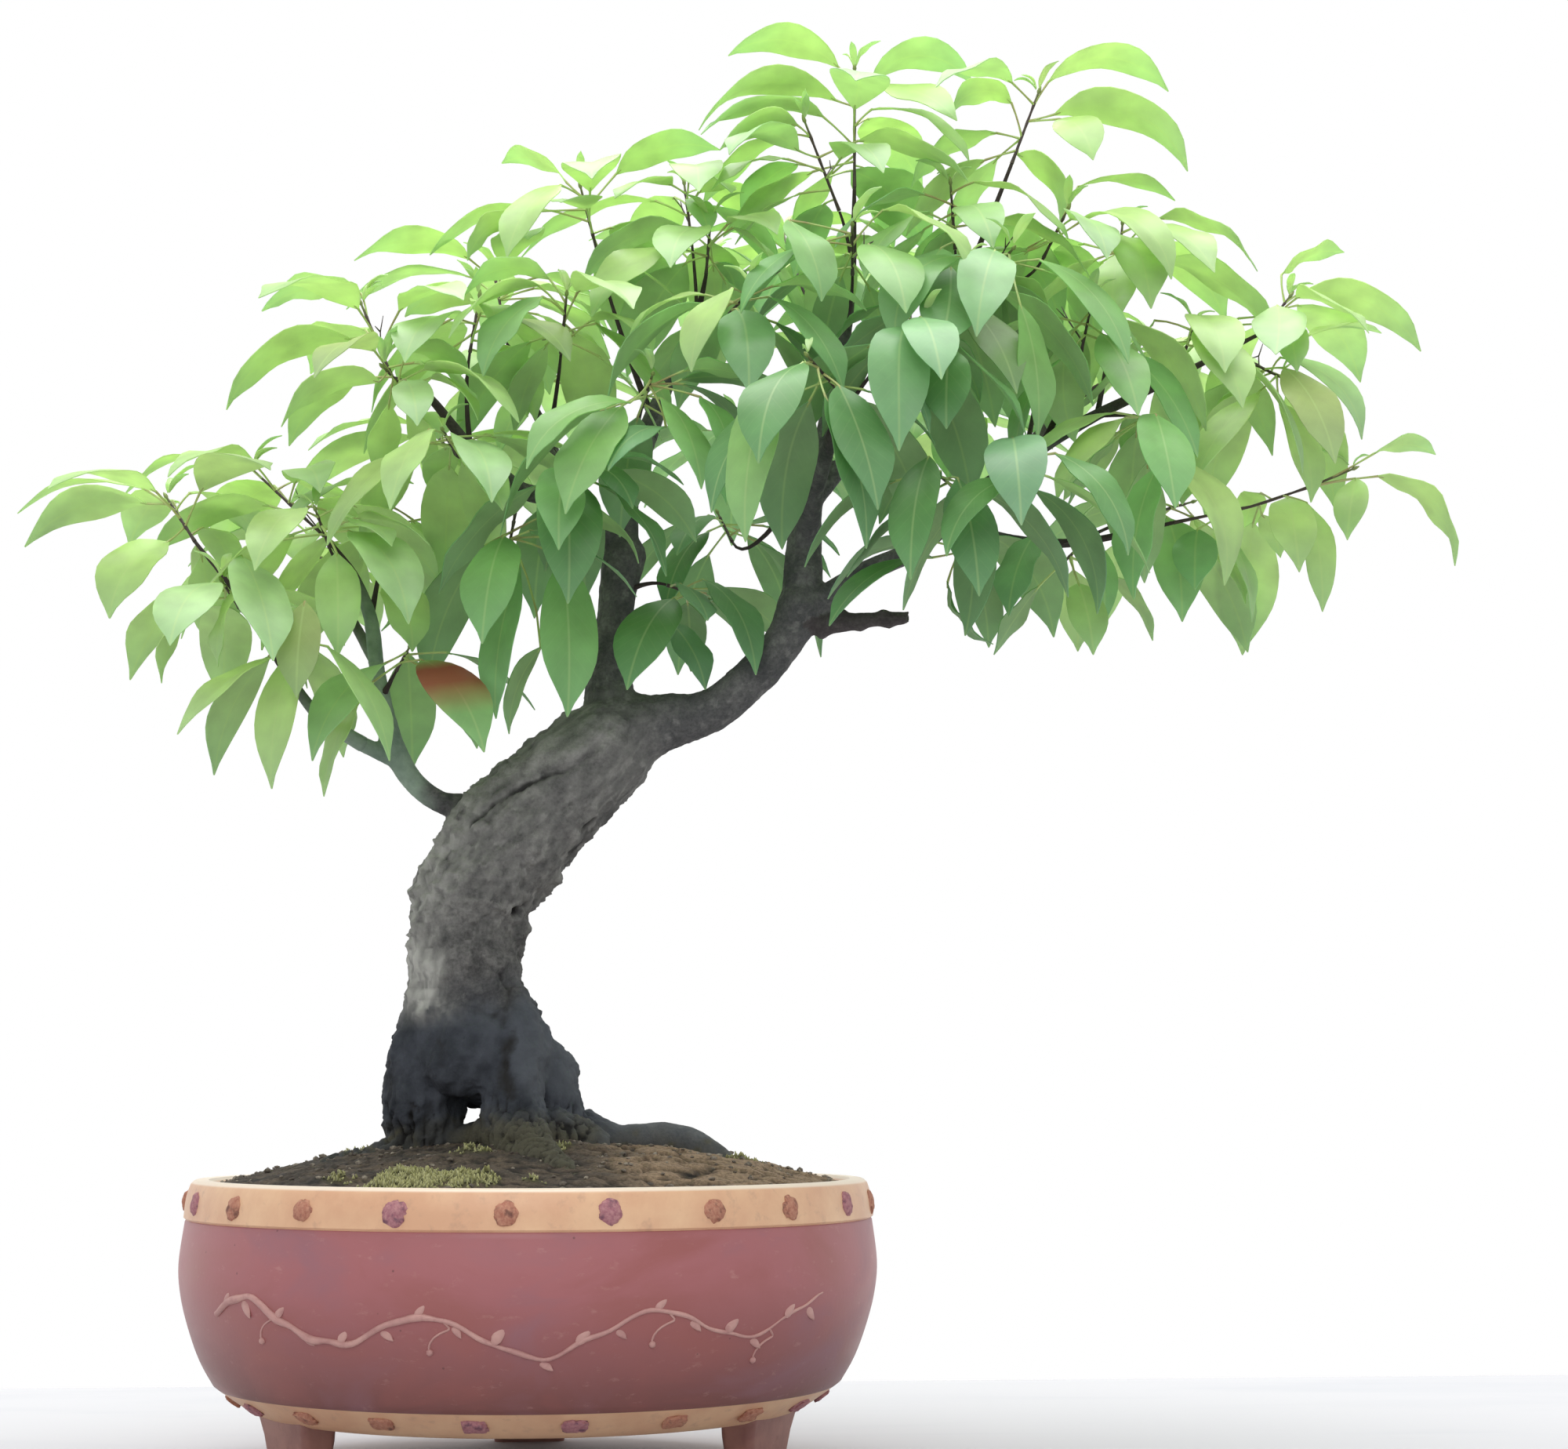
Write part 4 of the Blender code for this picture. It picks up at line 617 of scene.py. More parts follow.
# Leafy shoots, one row each: the limb, the number of its point where the twig leaves, the twig's end
# (None where the limb itself ends in the shoot), the point or points that the shoot runs through, how
# many leaves follow the rule, and the leaves that show as single shapes from the front. Each of those
# is the blade's base, its tip, how far it arches above the straight line, and its width.
sprayRows = (
    ("B1", -1, None, (150, 0, 662), 3, (
        ((142, 0, 664), (88, -5, 666), 11, 27), ((141, 0, 647), (73, -20, 623), 16, 29),
        ((158, 0, 657), (209, 5, 659), 14, 28), ((158, -3, 642), (202, -25, 610), 9, 28),
        ((160, -3, 654), (173, -38, 614), 5, 28),
    )),
    ("B1", 7, (142, -4, 590), (124, -20, 628), 5, (((120, -20, 627), (82, -36, 608), 6, 27),)),
    ("B1c", -1, None, (238, -12, 649), 1, (
        ((243, -12, 655), (304, -5, 655), 15, 28), ((246, -12, 639), (308, -25, 608), 16, 30),
        ((248, -14, 636), (258, -46, 605), 6, 26), ((225, -12, 644), (196, -8, 639), 9, 26),
        ((228, -10, 619), (258, -26, 598), 8, 26),
    )),
    ("B1c", 3, (198, -5, 572), (194, -18, 600), 7, ()),
    ("B1c", 3, (207, -50, 546), (213, -80, 550), 5, (((213, -98, 519), (219, -104, 456), 4, 24),)),
    ("B1b", 2, (153, -95, 494), (168, -110, 507), 5, (
        ((177, -122, 492), (174, -132, 453), 4, 26), ((143, -118, 493), (167, -138, 451), 6, 26),
    )),
    ("B1b", -1, None, (114, -135, 483), 5, (
        ((98, -140, 471), (86, -152, 398), 6, 29), ((121, -140, 464), (137, -152, 396), 6, 33),
    )),
    ("B1", 6, (143, -50, 545), (139, -85, 557), 5, (((109, -98, 555), (122, -116, 513), 5, 32),)),
    ("B1c", 2, (180, -50, 527), (192, -85, 543), 4, (((187, -92, 542), (155, -112, 495), 13, 30),)),
    ("A2", -1, None, (80, 0, 584), 7, ()),
    ("A2", 5, (82, -50, 521), (93, -85, 526), 5, (((84, -95, 524), (65, -116, 480), 7, 30),)),
    ("A2", 3, (46, -50, 480), (49, -90, 485), 4, (
        ((39, -95, 471), (-6, -110, 437), 10, 27), ((70, -96, 474), (82, -112, 440), 5, 23),
        ((55, -92, 461), (29, -114, 436), 6, 22),
    )),
    ("A2", 4, (27, 20, 571), (18, 15, 604), 4, (
        ((11, 15, 607), (-21, 45, 626), 7, 24), ((8, 10, 604), (-17, -20, 558), 7, 28),
        ((-9, 10, 590), (-36, 0, 568), 6, 24), ((35, 15, 612), (85, 10, 624), 8, 27),
    )),
    ("A1", -1, None, (-85, -3, 538), 3, (
        ((-86, 0, 545), (-132, 0, 535), 7, 26), ((-90, -2, 522), (-146, -12, 484), 12, 29),
    )),
    ("A1", 6, (-62, -22, 492), (-72, -42, 498), 3, (
        ((-74, -40, 492), (-117, -52, 467), 9, 28), ((-61, -30, 510), (-33, -25, 499), 5, 24),
    )),
    ("A1", 5, (-34, 0, 517), (-30, 0, 544), 6, (((-32, 0, 542), (-65, 0, 534), 6, 25),)),
    ("A3", 1, (9, -10, 515), (11, -45, 533), 5, (
        ((3, -45, 541), (-36, -45, 532), 9, 27), ((0, -50, 531), (-26, -66, 489), 6, 30),
    )),
    ("A1", 5, (-39, -30, 461), (-44, -60, 465), 6, ()),
    ("A1", 4, (-12, -25, 431), (-14, -45, 414), 2, (
        ((-9, -45, 406), (-19, -54, 335), 5, 33), ((10, -50, 409), (13, -56, 336), 4, 33),
        ((1, -40, 370), (-13, -40, 330), 4, 21),
    )),
    ("A1", 3, (13, -30, 447), (14, -65, 448), 6, ()),
    ("A", 4, (60, 6, 408), (79, 8, 402), 3, (
        ((76, 4, 399), (102, -10, 380), 8, 22), ((60, 0, 390), (75, -10, 351), 4, 24),
    )),
    ("B2", 7, (279, 5, 561), (281, 0, 588), 7, ()),
    ("B2", 6, (253, -35, 515), (252, -65, 529), 6, ()),
    ("B2", -1, None, (363, 0, 554), 3, (
        ((360, 2, 566), (397, 20, 584), 5, 22), ((368, 0, 556), (425, -10, 526), 11, 28),
        ((372, 0, 535), (418, 30, 546), 5, 22),
    )),
    ("B2", 8, (304, -25, 516), (307, -35, 529), 6, ()),
    ("B2", 9, (340, -20, 515), (350, -30, 506), 4, (
        ((352, -22, 518), (386, -38, 475), 10, 27), ((350, -26, 495), (362, -34, 445), 5, 26),
    )),
    ("B2", 7, (274, -50, 481), (278, -80, 472), 5, (((277, -85, 449), (264, -92, 387), 5, 30),)),
    ("B2b", -1, None, ((342, -5, 449), (371, 0, 460), (392, 0, 469)), 2, (
        ((403, 0, 477), (439, 15, 481), 5, 20), ((405, 0, 466), (438, -12, 420), 11, 27),
        ((393, -3, 464), (381, -26, 429), 3, 20), ((368, -5, 451), (371, -16, 396), 4, 24),
        ((347, 0, 446), (360, 16, 428), 3, 16), ((326, -8, 439), (338, -12, 391), 4, 24),
        ((313, -10, 436), (305, -36, 402), 4, 25),
    )),
    ("B2b", 2, (291, 22, 448), (322, 40, 460), 5, ()),
    ("B2c", -1, None, (212, -120, 444), 4, (
        ((223, -125, 445), (251, -142, 397), 8, 27), ((208, -124, 434), (172, -144, 395), 9, 27),
    )),
    ("B2c", 1, (184, -85, 438), (171, -110, 440), 5, (((174, -116, 438), (157, -126, 401), 5, 25),)),
    ("B2b", 2, (249, -35, 420), (240, -55, 411), 4, (
        ((227, -52, 424), (212, -66, 383), 4, 26), ((257, -46, 422), (259, -54, 362), 6, 22),
    )),
    ("B2", 4, (189, -50, 417), (195, -66, 412), 4, (((195, -66, 412), (192, -76, 376), 3, 20),)),
    ("C1", -1, None, (-172, -10, 442), 5, (
        ((-181, -12, 439), (-235, -16, 417), 9, 29), ((-170, -18, 420), (-192, -42, 380), 8, 34),
    )),
    ("C", -1, None, (-136, 15, 462), 7, ()),
    ("C", 9, (-96, -25, 417), (-101, -45, 430), 5, (((-91, -50, 410), (-88, -66, 360), 6, 24),)),
    ("C", 8, (-73, 5, 423), (-69, 0, 446), 5, (((-68, -18, 405), (-57, -34, 368), 5, 28),)),
    ("C1", 5, (-134, -45, 385), (-140, -60, 394), 4, (
        ((-128, -60, 396), (-147, -68, 355), 7, 30), ((-150, -40, 389), (-169, -34, 352), 6, 20),
    )),
    ("C1", 4, (-109, -50, 365), (-102, -65, 373), 4, (
        ((-104, -66, 368), (-115, -78, 299), 6, 34), ((-102, -82, 382), (-104, -92, 338), 4, 24),
    )),
    ("C", 6, (-65, -20, 361), (-59, -30, 370), 4, (((-52, -32, 361), (-27, -42, 323), 6, 24),)),
    ("B1", 6, (130, 70, 576), (124, 95, 608), 6, ()),
    ("B1c", 2, (189, 90, 559), (193, 125, 595), 6, ()),
    ("A2b", -1, None, (88, 135, 603), 6, ()),
    ("A3", 2, (0, 85, 520), (4, 115, 538), 5, ()),
    ("A3", -1, None, (-24, 70, 576), 5, ()),
    ("B2d", 1, (254, 75, 544), (260, 100, 574), 6, ()),
    ("B2d", -1, None, (326, 112, 550), 6, ()),
    ("B1d", -1, None, (169, 192, 564), 6, ()),
    ("B1d", 2, (203, 140, 522), (230, 165, 523), 6, ()),
    ("B1d", 1, (109, 110, 500), (103, 150, 517), 6, ()),
    ("A1", 4, (-42, 60, 481), (-53, 90, 498), 6, ()),
    ("Cb", -1, None, (-114, 88, 442), 6, ()),
    ("A2", 6, (72, 25, 585), (69, 30, 612), 6, ()),
    ("B1c", 3, (239, -15, 566), (248, -30, 585), 5, ()),
    ("B1", 4, (94, 45, 437), (88, 60, 454), 5, ()),
)

growth = {
    "gap": 0.3,  # between a twig's end and its shoot
    "trunkSides": 14, "rootSides": 7,  # of the plain bodies that leaves are kept clear of
    "trunkLumps": 0.10, "rootLumps": 0.12, "limbLumps": 0.05,  # as shares of the radius
    "shootRadius": 1.25, "stalkRadius": 0.75, "leafLength": 71.0, "leafThick": 1.3,
    "leafSteps": 12,  # stretches of a blade's midrib
    # share of the greatest width along the blade, step by step
    "outline": (0.05, 0.50, 0.80, 0.95, 1.0, 0.98, 0.91, 0.79, 0.62, 0.42, 0.24, 0.10, 0.0),
    "stations": (3, 7),  # the steps where a test blade has its rings
    "clearance": 0.9, "tries": 60,  # room between two leaves, and how often a leaf's place is tried
    "goldenAngle": math.radians(137.508),  # from leaf to leaf round a shoot
    "crownMiddle": Vector((110.0, 20.0, 500.0)),
    # the crown's highest level and where it is, and how it falls away to the sides and to front and back
    "crownTop": 660.0, "crownCrest": 180.0, "crownFalls": (0.0019, 0.0035),
    # lowest level that inner leaves reach: higher over the bare wood in the middle
    "crownFoot": ((-240.0, 300.0), (-170.0, 300.0), (-110.0, 330.0), (40.0, 350.0), (150.0, 390.0),
                  (210.0, 430.0)),
    "youngDepth": 30.0, "midDepth": 95.0,  # how far below the crown's surface a shoot's leaves are older
    "edgeOn": 0.4, "rolls": (0.34, -0.34, 0.2, -0.2),  # how leaves seen edge-on roll to the front
    # how low leaves hang on the right, as (x, height), and the least share of its length that one keeps
    "shortFoot": ((180.0, 300.0), (200.0, 380.0), (345.0, 384.0), (370.0, 300.0)), "shortest": 0.62,
    "inner": 4, "innerLength": (40.0, 60.0), "innerDepth": 26.0,  # small leaves that fill the crown's inside
}


def lumpAt(spot):
    return noise(spot / 17.0) + 0.6 * noise(spot / 7.0)


def twigPath(limb, number, end, way, shares=(0.0, 0.45, 1.0)):
    # a thin twig that leaves a limb and comes into its end along the shoot's direction
    x, y, z, radius = limbLines[limb][number]
    start, end = Vector((x, y, z)), Vector(end)
    bend = end - way.normalized() * 0.4 * (end - start).length
    first = min(0.7 * radius, 2.4)
    path = []
    for share in shares:
        spot = start * (1 - share) ** 2 + bend * 2 * share * (1 - share) + end * share ** 2
        path.append((*spot, first + (growth["shootRadius"] + 0.15 - first) * share))
    return path


def shootWays():
    # the direction in which each limb runs on into its own end shoot
    ways = {}
    for limb, _number, end, shoot, _count, _leaves in sprayRows:
        if end is None:
            first = shoot[0] if isinstance(shoot[0], tuple) else shoot
            ways[limb] = Vector(first) - Vector(limbLines[limb][-1][:3])
    return ways


def woodBodies():
    # every woody part as (path, sides, lumps, last direction), plain enough for the leaves' test
    ways = shootWays()
    bodies = [(trunkLine, growth["trunkSides"], growth["trunkLumps"], None)]
    bodies += [(path, growth["rootSides"], growth["rootLumps"], None) for path in rootLines.values()]
    for name, path in limbLines.items():
        radius = path[0][3]
        sides = 8 if radius > 9 else 6 if radius > 5 else 5 if radius > 3 else 4
        bodies.append((path, sides, growth["limbLumps"], ways.get(name)))
    for limb, number, end, shoot, _count, _leaves in sprayRows:
        if end is not None:
            way = Vector(shoot) - Vector(end)
            bodies.append((twigPath(limb, number, end, way), 3, 0.0, way))
    return bodies


def plainTube(path, sides, lumps, lastWay):
    # points and faces of a test body, which isn't drawn
    centres = [Vector(p[:3]) for p in path]
    ways = []
    for i in range(len(centres)):
        ways.append((centres[min(i + 1, len(path) - 1)] - centres[max(i - 1, 0)]).normalized())
    if lastWay is not None:
        ways[-1] = lastWay.normalized()
    side = ways[0].orthogonal().normalized()
    points = []
    for centre, way, place in zip(centres, ways, path):
        side = (side - way * side.dot(way)).normalized()
        across = way.cross(side)
        for k in range(sides):
            angle = math.tau * k / sides
            out = side * math.cos(angle) + across * math.sin(angle)
            radius = place[3]
            if lumps:
                radius *= 1.0 + lumps * lumpAt(centre + out * radius)
            points.append(centre + out * radius)
    faces = [tuple(reversed(range(sides)))]
    for ring in range(len(path) - 1):
        a = ring * sides
        for k in range(sides):
            m = (k + 1) % sides
            faces.append((a + k, a + m, a + sides + m))
            faces.append((a + k, a + sides + m, a + sides + k))
    last = (len(path) - 1) * sides
    faces.append(tuple(range(last, last + sides)))
    return points, faces


def wayAt(rise, turn):
    return Vector((math.cos(rise) * math.cos(turn), math.cos(rise) * math.sin(turn), math.sin(rise)))


def newLeaf(*values):
    # where its stalk and its blade begin, the way it points, how that way rises from first to last,
    # its size, and how far the blade rolls, bends aside and folds
    return dict(zip(("root", "base", "turn", "rise", "length", "width", "roll", "bend", "fold"), values))


def leafWay(leaf, share):
    rise = leaf["rise"][0] + (leaf["rise"][1] - leaf["rise"][0]) * share
    return wayAt(rise, leaf["turn"] + leaf["bend"] * (share - 0.5))


def leafMidrib(leaf):
    # places along the blade's middle, with the direction at each
    steps = growth["leafSteps"]
    spot = leaf["base"].copy()
    found = []
    step = leaf["length"] / steps
    for j in range(steps + 1):
        share = j / steps
        found.append((spot.copy(), leafWay(leaf, share)))
        spot += leafWay(leaf, share + 0.5 / steps) * step
    return found


def leafFrame(way, leaf):
    # the blade's own left and up, where it runs this way
    side = Vector((math.sin(leaf["turn"]), -math.cos(leaf["turn"]), 0.0))
    side = Matrix.Rotation(leaf["roll"], 3, way) @ side
    side = (side - way * side.dot(way)).normalized()
    return side, side.cross(way)


def plainRing(centre, way, leaf, halfWidth, halfThick, fold):
    side, up = leafFrame(way, leaf)
    lift = up * math.sin(fold) * halfWidth
    reach = side * math.cos(fold) * halfWidth
    return [centre + reach + lift, centre - up * halfThick, centre - reach + lift, centre + up * halfThick]


def plainLeaf(leaf, grow=0.0, fromStalk=True):
    # points and triangles of a leaf's test body: a stalk, then a folded blade
    line = leafMidrib(leaf)
    base, firstWay = line[0]
    stalk = growth["stalkRadius"]
    rings = []
    if fromStalk:
        rings.append(plainRing(leaf["root"], (base - leaf["root"]).normalized(), leaf, stalk + grow,
                               stalk + grow, 0.0))
    rings.append(plainRing(base, firstWay, leaf, stalk + 0.3 + grow, stalk + grow, 0.0))
    for j in growth["stations"]:
        spot, way = line[j]
        half = 0.53 * leaf["width"] * growth["outline"][j]
        rings.append(plainRing(spot, way, leaf, half + grow, 0.5 * growth["leafThick"] + 0.7 * grow,
                               leaf["fold"]))
    points = [p for ring in rings for p in ring]
    tip, lastWay = line[-1]
    points.append(tip + lastWay * grow)
    faces = [(3, 2, 1, 0)]
    for ring in range(len(rings) - 1):
        a = 4 * ring
        b = a + 4
        faces += [(a, a + 1, b + 1), (a, b + 1, b), (a + 1, a + 2, b + 1), (a + 2, b + 2, b + 1)]
        faces += [(a + 2, a + 3, b + 3), (a + 2, b + 3, b + 2), (a + 3, a, b + 3), (a, b, b + 3)]
    a = 4 * len(rings) - 4
    for k in range(4):
        faces.append((a + k, a + (k + 1) % 4, len(points) - 1))
    return points, faces


class TestBody:
    # a surface kept for finding what would cross it

    def __init__(self, points, faces, owner):
        self.tree = BVHTree.FromPolygons(points, faces)
        self.low = [min(p[i] for p in points) for i in range(3)]
        self.high = [max(p[i] for p in points) for i in range(3)]
        self.owner = owner

    def meets(self, other):
        for i in range(3):
            if self.low[i] > other.high[i] or other.low[i] > self.high[i]:
                return False
        return bool(self.tree.overlap(other.tree))


def alongPath(path, share):
    lengths = [(b - a).length for a, b in zip(path, path[1:])]
    left = share * sum(lengths)
    for a, b, length in zip(path, path[1:], lengths):
        if left <= length:
            return a.lerp(b, left / length)
        left -= length
    return path[-1].copy()


def shootPath(row):
    # the shoot's middle line, a small gap beyond the twig's end
    limb, _number, end, shoot, _count, _leaves = row
    start = Vector(limbLines[limb][-1][:3] if end is None else end)
    through = [Vector(p) for p in shoot] if isinstance(shoot[0], tuple) else [Vector(shoot)]
    way = (through[0] - start).normalized()
    return [start + way * growth["gap"], *through]


def leafShares(count, length):
    # the places of a shoot's leaves, two to a level, and the rings below and above each pair
    levels = (count + 1) // 2
    middles = [0.26 + 0.70 * (level + 0.5) / levels for level in range(levels)]
    half = 1.5 / length
    rings = [0.0] + [m + side * half for m in middles for side in (-1, 1)] + [1.0]
    return [middles[n // 2] for n in range(count)], rings


def plainShoot(row):
    # points and faces of a shoot's test body with its end bud
    path = shootPath(row)
    length = sum((b - a).length for a, b in zip(path, path[1:]))
    line = [(*alongPath(path, share), growth["shootRadius"] * (1.0 - 0.25 * share))
            for share in leafShares(row[4] + len(row[5]), length)[1]]
    points, faces = plainTube(line, 3, 0.0, None)
    top, last = Vector(line[-1][:3]), len(points) - 3
    points.append(top + (top - Vector(line[-2][:3])).normalized() * 4.0)
    return points, faces[:-1] + [(last + k, last + (k + 1) % 3, last + 3) for k in range(3)]


def shownLeaf(draw, path, share, row, attempt):
    # a leaf with a given base and tip, turned a little more at each new attempt
    base, tip, arch, width = row
    base, tip = Vector(base), Vector(tip)
    chord = tip - base
    root = alongPath(path, share)
    halfTurn = 2 * math.atan(2 * arch / chord.length)
    loose = 0.012 * attempt
    middle = math.asin(chord.z / chord.length) + draw.uniform(-1, 1) * loose
    turn = math.atan2(chord.y, chord.x) + draw.uniform(-1, 1) * 2 * loose
    leaf = newLeaf(root, base, turn, (middle + halfTurn, middle - halfTurn),
                   chord.length * halfTurn / math.sin(halfTurn), width,
                   draw.uniform(-0.15, 0.15) + draw.uniform(-1, 1) * loose, draw.uniform(-0.15, 0.15),
                   draw.uniform(0.16, 0.3))
    return dict(leaf, shown=True)


def facing(leaf):
    # how much of its face a blade turns to the camera
    side, up = leafFrame(leafWay(leaf, 0.5), leaf)
    return abs(up.dot((leaf["base"] - Vector(stageSettings["cameraPlace"])).normalized()))


def crownTop(place, deep=growth["crownFalls"][1]):
    aside = place.x - growth["crownCrest"]
    return growth["crownTop"] - growth["crownFalls"][0] * aside ** 2 - deep * place.y ** 2


def ruledLeaf(draw, path, share, number, attempt):
    # a leaf at its place in the spiral along the shoot, by the light that it gets
    tip = path[-1]
    root = alongPath(path, share)
    out = tip - growth["crownMiddle"]
    hang = min(1.0, max(0.0, 0.12 + (crownTop(tip) - tip.z) / 110.0)) * (1.0 - 0.3 * share)
    spread = (number * growth["goldenAngle"] + 0.8) % math.tau - math.pi
    loose = 0.05 + 0.012 * attempt
    turn = math.atan2(out.y, out.x) + 0.8 * spread + draw.uniform(-1, 1) * 3 * loose
    climb = math.radians(38 - 62 * hang) + draw.uniform(-1, 1) * 3 * loose
    stalk = draw.uniform(17, 26) * (1.0 - 0.25 * share)
    base = root + stalk * wayAt(climb, turn)
    length = growth["leafLength"] * draw.uniform(0.88, 1.1) * (1.0 - 0.2 * share ** 3)
    if attempt > growth["tries"] // 2:
        length *= 0.85
    start = math.radians(24 - 62 * hang) + draw.uniform(-1, 1) * 2 * loose
    stop = math.radians(-38 - 46 * hang) + draw.uniform(-1, 1) * 2 * loose
    return newLeaf(root, base, turn, (start, stop), length, length * draw.uniform(0.42, 0.49),
                   draw.uniform(-0.35, 0.35), draw.uniform(-0.35, 0.35), draw.uniform(0.14, 0.32))


def innerLeaf(draw, path):
    # a smaller leaf that turns back into the crown
    root = alongPath(path, draw.uniform(0.05, 0.75))
    inward = growth["crownMiddle"] - root
    turn = math.atan2(inward.y, inward.x) + draw.uniform(-1.7, 1.7)
    climb = draw.uniform(-0.5, 0.5)
    base = root + draw.uniform(12, 22) * wayAt(climb, turn)
    length = draw.uniform(*growth["innerLength"])
    return newLeaf(root, base, turn, (climb - 0.2, draw.uniform(-1.3, -0.7)), length,
                   length * draw.uniform(0.42, 0.5), draw.uniform(-0.4, 0.4), draw.uniform(-0.35, 0.35),
                   draw.uniform(0.14, 0.32))


def leafOrder(row, path):
    # which place on the shoot each leaf takes: the shown ones the nearest to their blades
    count, shown = row[4], row[5]
    total = count + len(shown)
    length = sum((b - a).length for a, b in zip(path, path[1:]))
    shares = leafShares(total, length)[0]
    free = list(range(total))
    order = []
    for base, _tip, _arch, _width in shown:
        aim = Vector(base) - Vector((0, 0, 6))
        slot = min(free, key=lambda n: ((alongPath(path, shares[n]) - aim).length, n))
        free.remove(slot)
        order.append(slot)
    return order + free, shares


def growLeaves():
    # the leaves of every shoot, each clear of the wood and of the leaves before it
    paths = [shootPath(row) for row in sprayRows]
    orders = [leafOrder(row, path) for row, path in zip(sprayRows, paths)]
    stems = [TestBody(*plainShoot(row), i) for i, row in enumerate(sprayRows)]
    fixed = [TestBody(*plainTube(*body), -1) for body in woodBodies()]
    leaves = [[] for _row in sprayRows]
    kept = []  # each leaf's test bodies, with and without its stalk

    def fits(leaf, owner):
        body = TestBody(*plainLeaf(leaf, 0.5 * growth["clearance"]), owner)
        blade = TestBody(*plainLeaf(leaf, 0.5 * growth["clearance"], False), owner)
        for other in fixed:
            if body.meets(other):
                return False
        for other in stems:
            if (blade if other.owner == owner else body).meets(other):
                return False
        for other, otherBlade in filter(None, kept):
            if other.owner != owner:
                if body.meets(other):
                    return False
            elif body.meets(otherBlade) or blade.meets(other):
                return False
        return True

    def testPair(leaf, owner):
        return TestBody(*plainLeaf(leaf), owner), TestBody(*plainLeaf(leaf, 0.0, False), owner)

    def keep(leaf, owner):
        leaf["place"] = len(kept)
        leaves[owner].append(leaf)
        kept.append(testPair(leaf, owner))

    def place(owner, number, make):
        order, shares = orders[owner]
        for attempt in range(growth["tries"]):
            draw = random.Random(100000 * owner + 1000 * number + attempt)
            leaf = make(draw, paths[owner], shares[order[number]], attempt)
            if fits(leaf, owner):
                keep(leaf, owner)
                return

    for i, row in enumerate(sprayRows):
        for n, shown in enumerate(row[5]):
            place(i, n, lambda draw, path, share, k, s=shown: shownLeaf(draw, path, share, s, k))
    for i, row in enumerate(sprayRows):
        for n in range(len(row[5]), len(row[5]) + row[4]):
            place(i, n, lambda draw, path, share, k, m=n: ruledLeaf(draw, path, share, m, k))
    for i, row in enumerate(leaves):
        for n, leaf in enumerate(row):
            if "shown" in leaf and facing(leaf) < growth["edgeOn"]:
                kept[leaf["place"]] = None
                rolled = [dict(leaf, roll=leaf["roll"] + turn) for turn in growth["rolls"]]
                rolled.sort(key=facing, reverse=True)
                row[n] = next((turned for turned in rolled if fits(turned, i)), leaf)
                kept[leaf["place"]] = testPair(row[n], i)
    for i, path in enumerate(paths):
        draw = random.Random(7000 + i)
        room = growth["inner"]
        for _attempt in range(16):
            leaf = innerLeaf(draw, path)
            tip = leafMidrib(leaf)[-1][0]
            deep = crownTop(tip) - leaf["base"].z > growth["innerDepth"]
            if room and deep and tip.z > lerp(growth["crownFoot"], tip.x) and fits(leaf, i):
                keep(leaf, i)
                room -= 1
    return leaves


# Soil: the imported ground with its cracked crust, moss and grit

soilSizes = {
    "mound": ((0.0, 148.5), (30.0, 147.5), (55.0, 145.0), (80.0, 142.0), (100.0, 138.6),
              (118.0, 134.6), (132.0, 131.0), (143.2, 128.2)),
    "edge": 143.2,
    "turns": 260, "ringStep": 2.0,
    # down the pot's inside to its floor, as (radius, height)
    "below": ((147.2, 104.1), (146.0, 74.1), (133.6, 48.1), (107.6, 34.9)),
    "crumb": 0.9,  # depth of the crumbs
    "plate": 17.0, "crack": 2.6,  # width of a dried plate, depth of the cracks between them
    "plateTilt": 1.7,
    "tufts": 3800, "tuftHigh": (0.9, 2.2),
    "stones": 620, "stone": (0.8, 2.1),
}
soilColours = {
    "peat": ("#24211E", "#4C453E"), "crust": ("#625240", "#B0967A"), "crack": "#17120E",
    "mossLow": "#4B4A2C", "moss": ("#77773E", "#C2C184"), "stone": ("#6E655A", "#B3A998"),
}
# where moss grows, as (x, y, radius, how thick)
mossPatches = ((-50, -114, 25, 1.0), (-26, -122, 16, 0.8), (-80, -96, 14, 0.5), (0, -124, 8, 0.4),
               (-26, -58, 12, 0.5), (12, -50, 10, 0.5), (96, -20, 12, 0.5), (-70, 40, 30, 0.6),
               (40, 86, 34, 0.8), (-20, 112, 24, 0.7), (104, 52, 18, 0.5))


def groundHeight(x, y):
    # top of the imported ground: a low mound with lumps, a little lower at the front
    away = math.hypot(x, y)
    height = lerp(soilSizes["mound"], away)
    fade = min(1.0, (146.0 - away) / 25.0)
    lump = 2.0 * noise(Vector((x / 26.0, y / 26.0, 3.1)))
    lump += 1.0 * noise(Vector((x / 9.0, y / 9.0, 7.7)))
    return height + fade * (lump - 1.2 * max(0.0, -y) / 140.0)


def mossAt(x, y):
    # 0 on bare ground to 1 in the middle of a cushion
    thick = 0.0
    for px, py, radius, amount in mossPatches:
        away = math.hypot(x - px, y - py) / radius
        thick = max(thick, amount * (1.0 - away))
    ragged = 0.55 * noise(Vector((x / 8, y / 8, 1.3))) + 0.3 * noise(Vector((x / 3, y / 3, 5.1)))
    return smoothStep(0.12, 0.55, thick + 0.5 * ragged)


def crustAt(x, y):
    # how dry and plated the ground is: most on the right, away from the trunk
    return smoothStep(8, 60, x + 14 * noise(Vector((x / 20, y / 20, 9.2))))


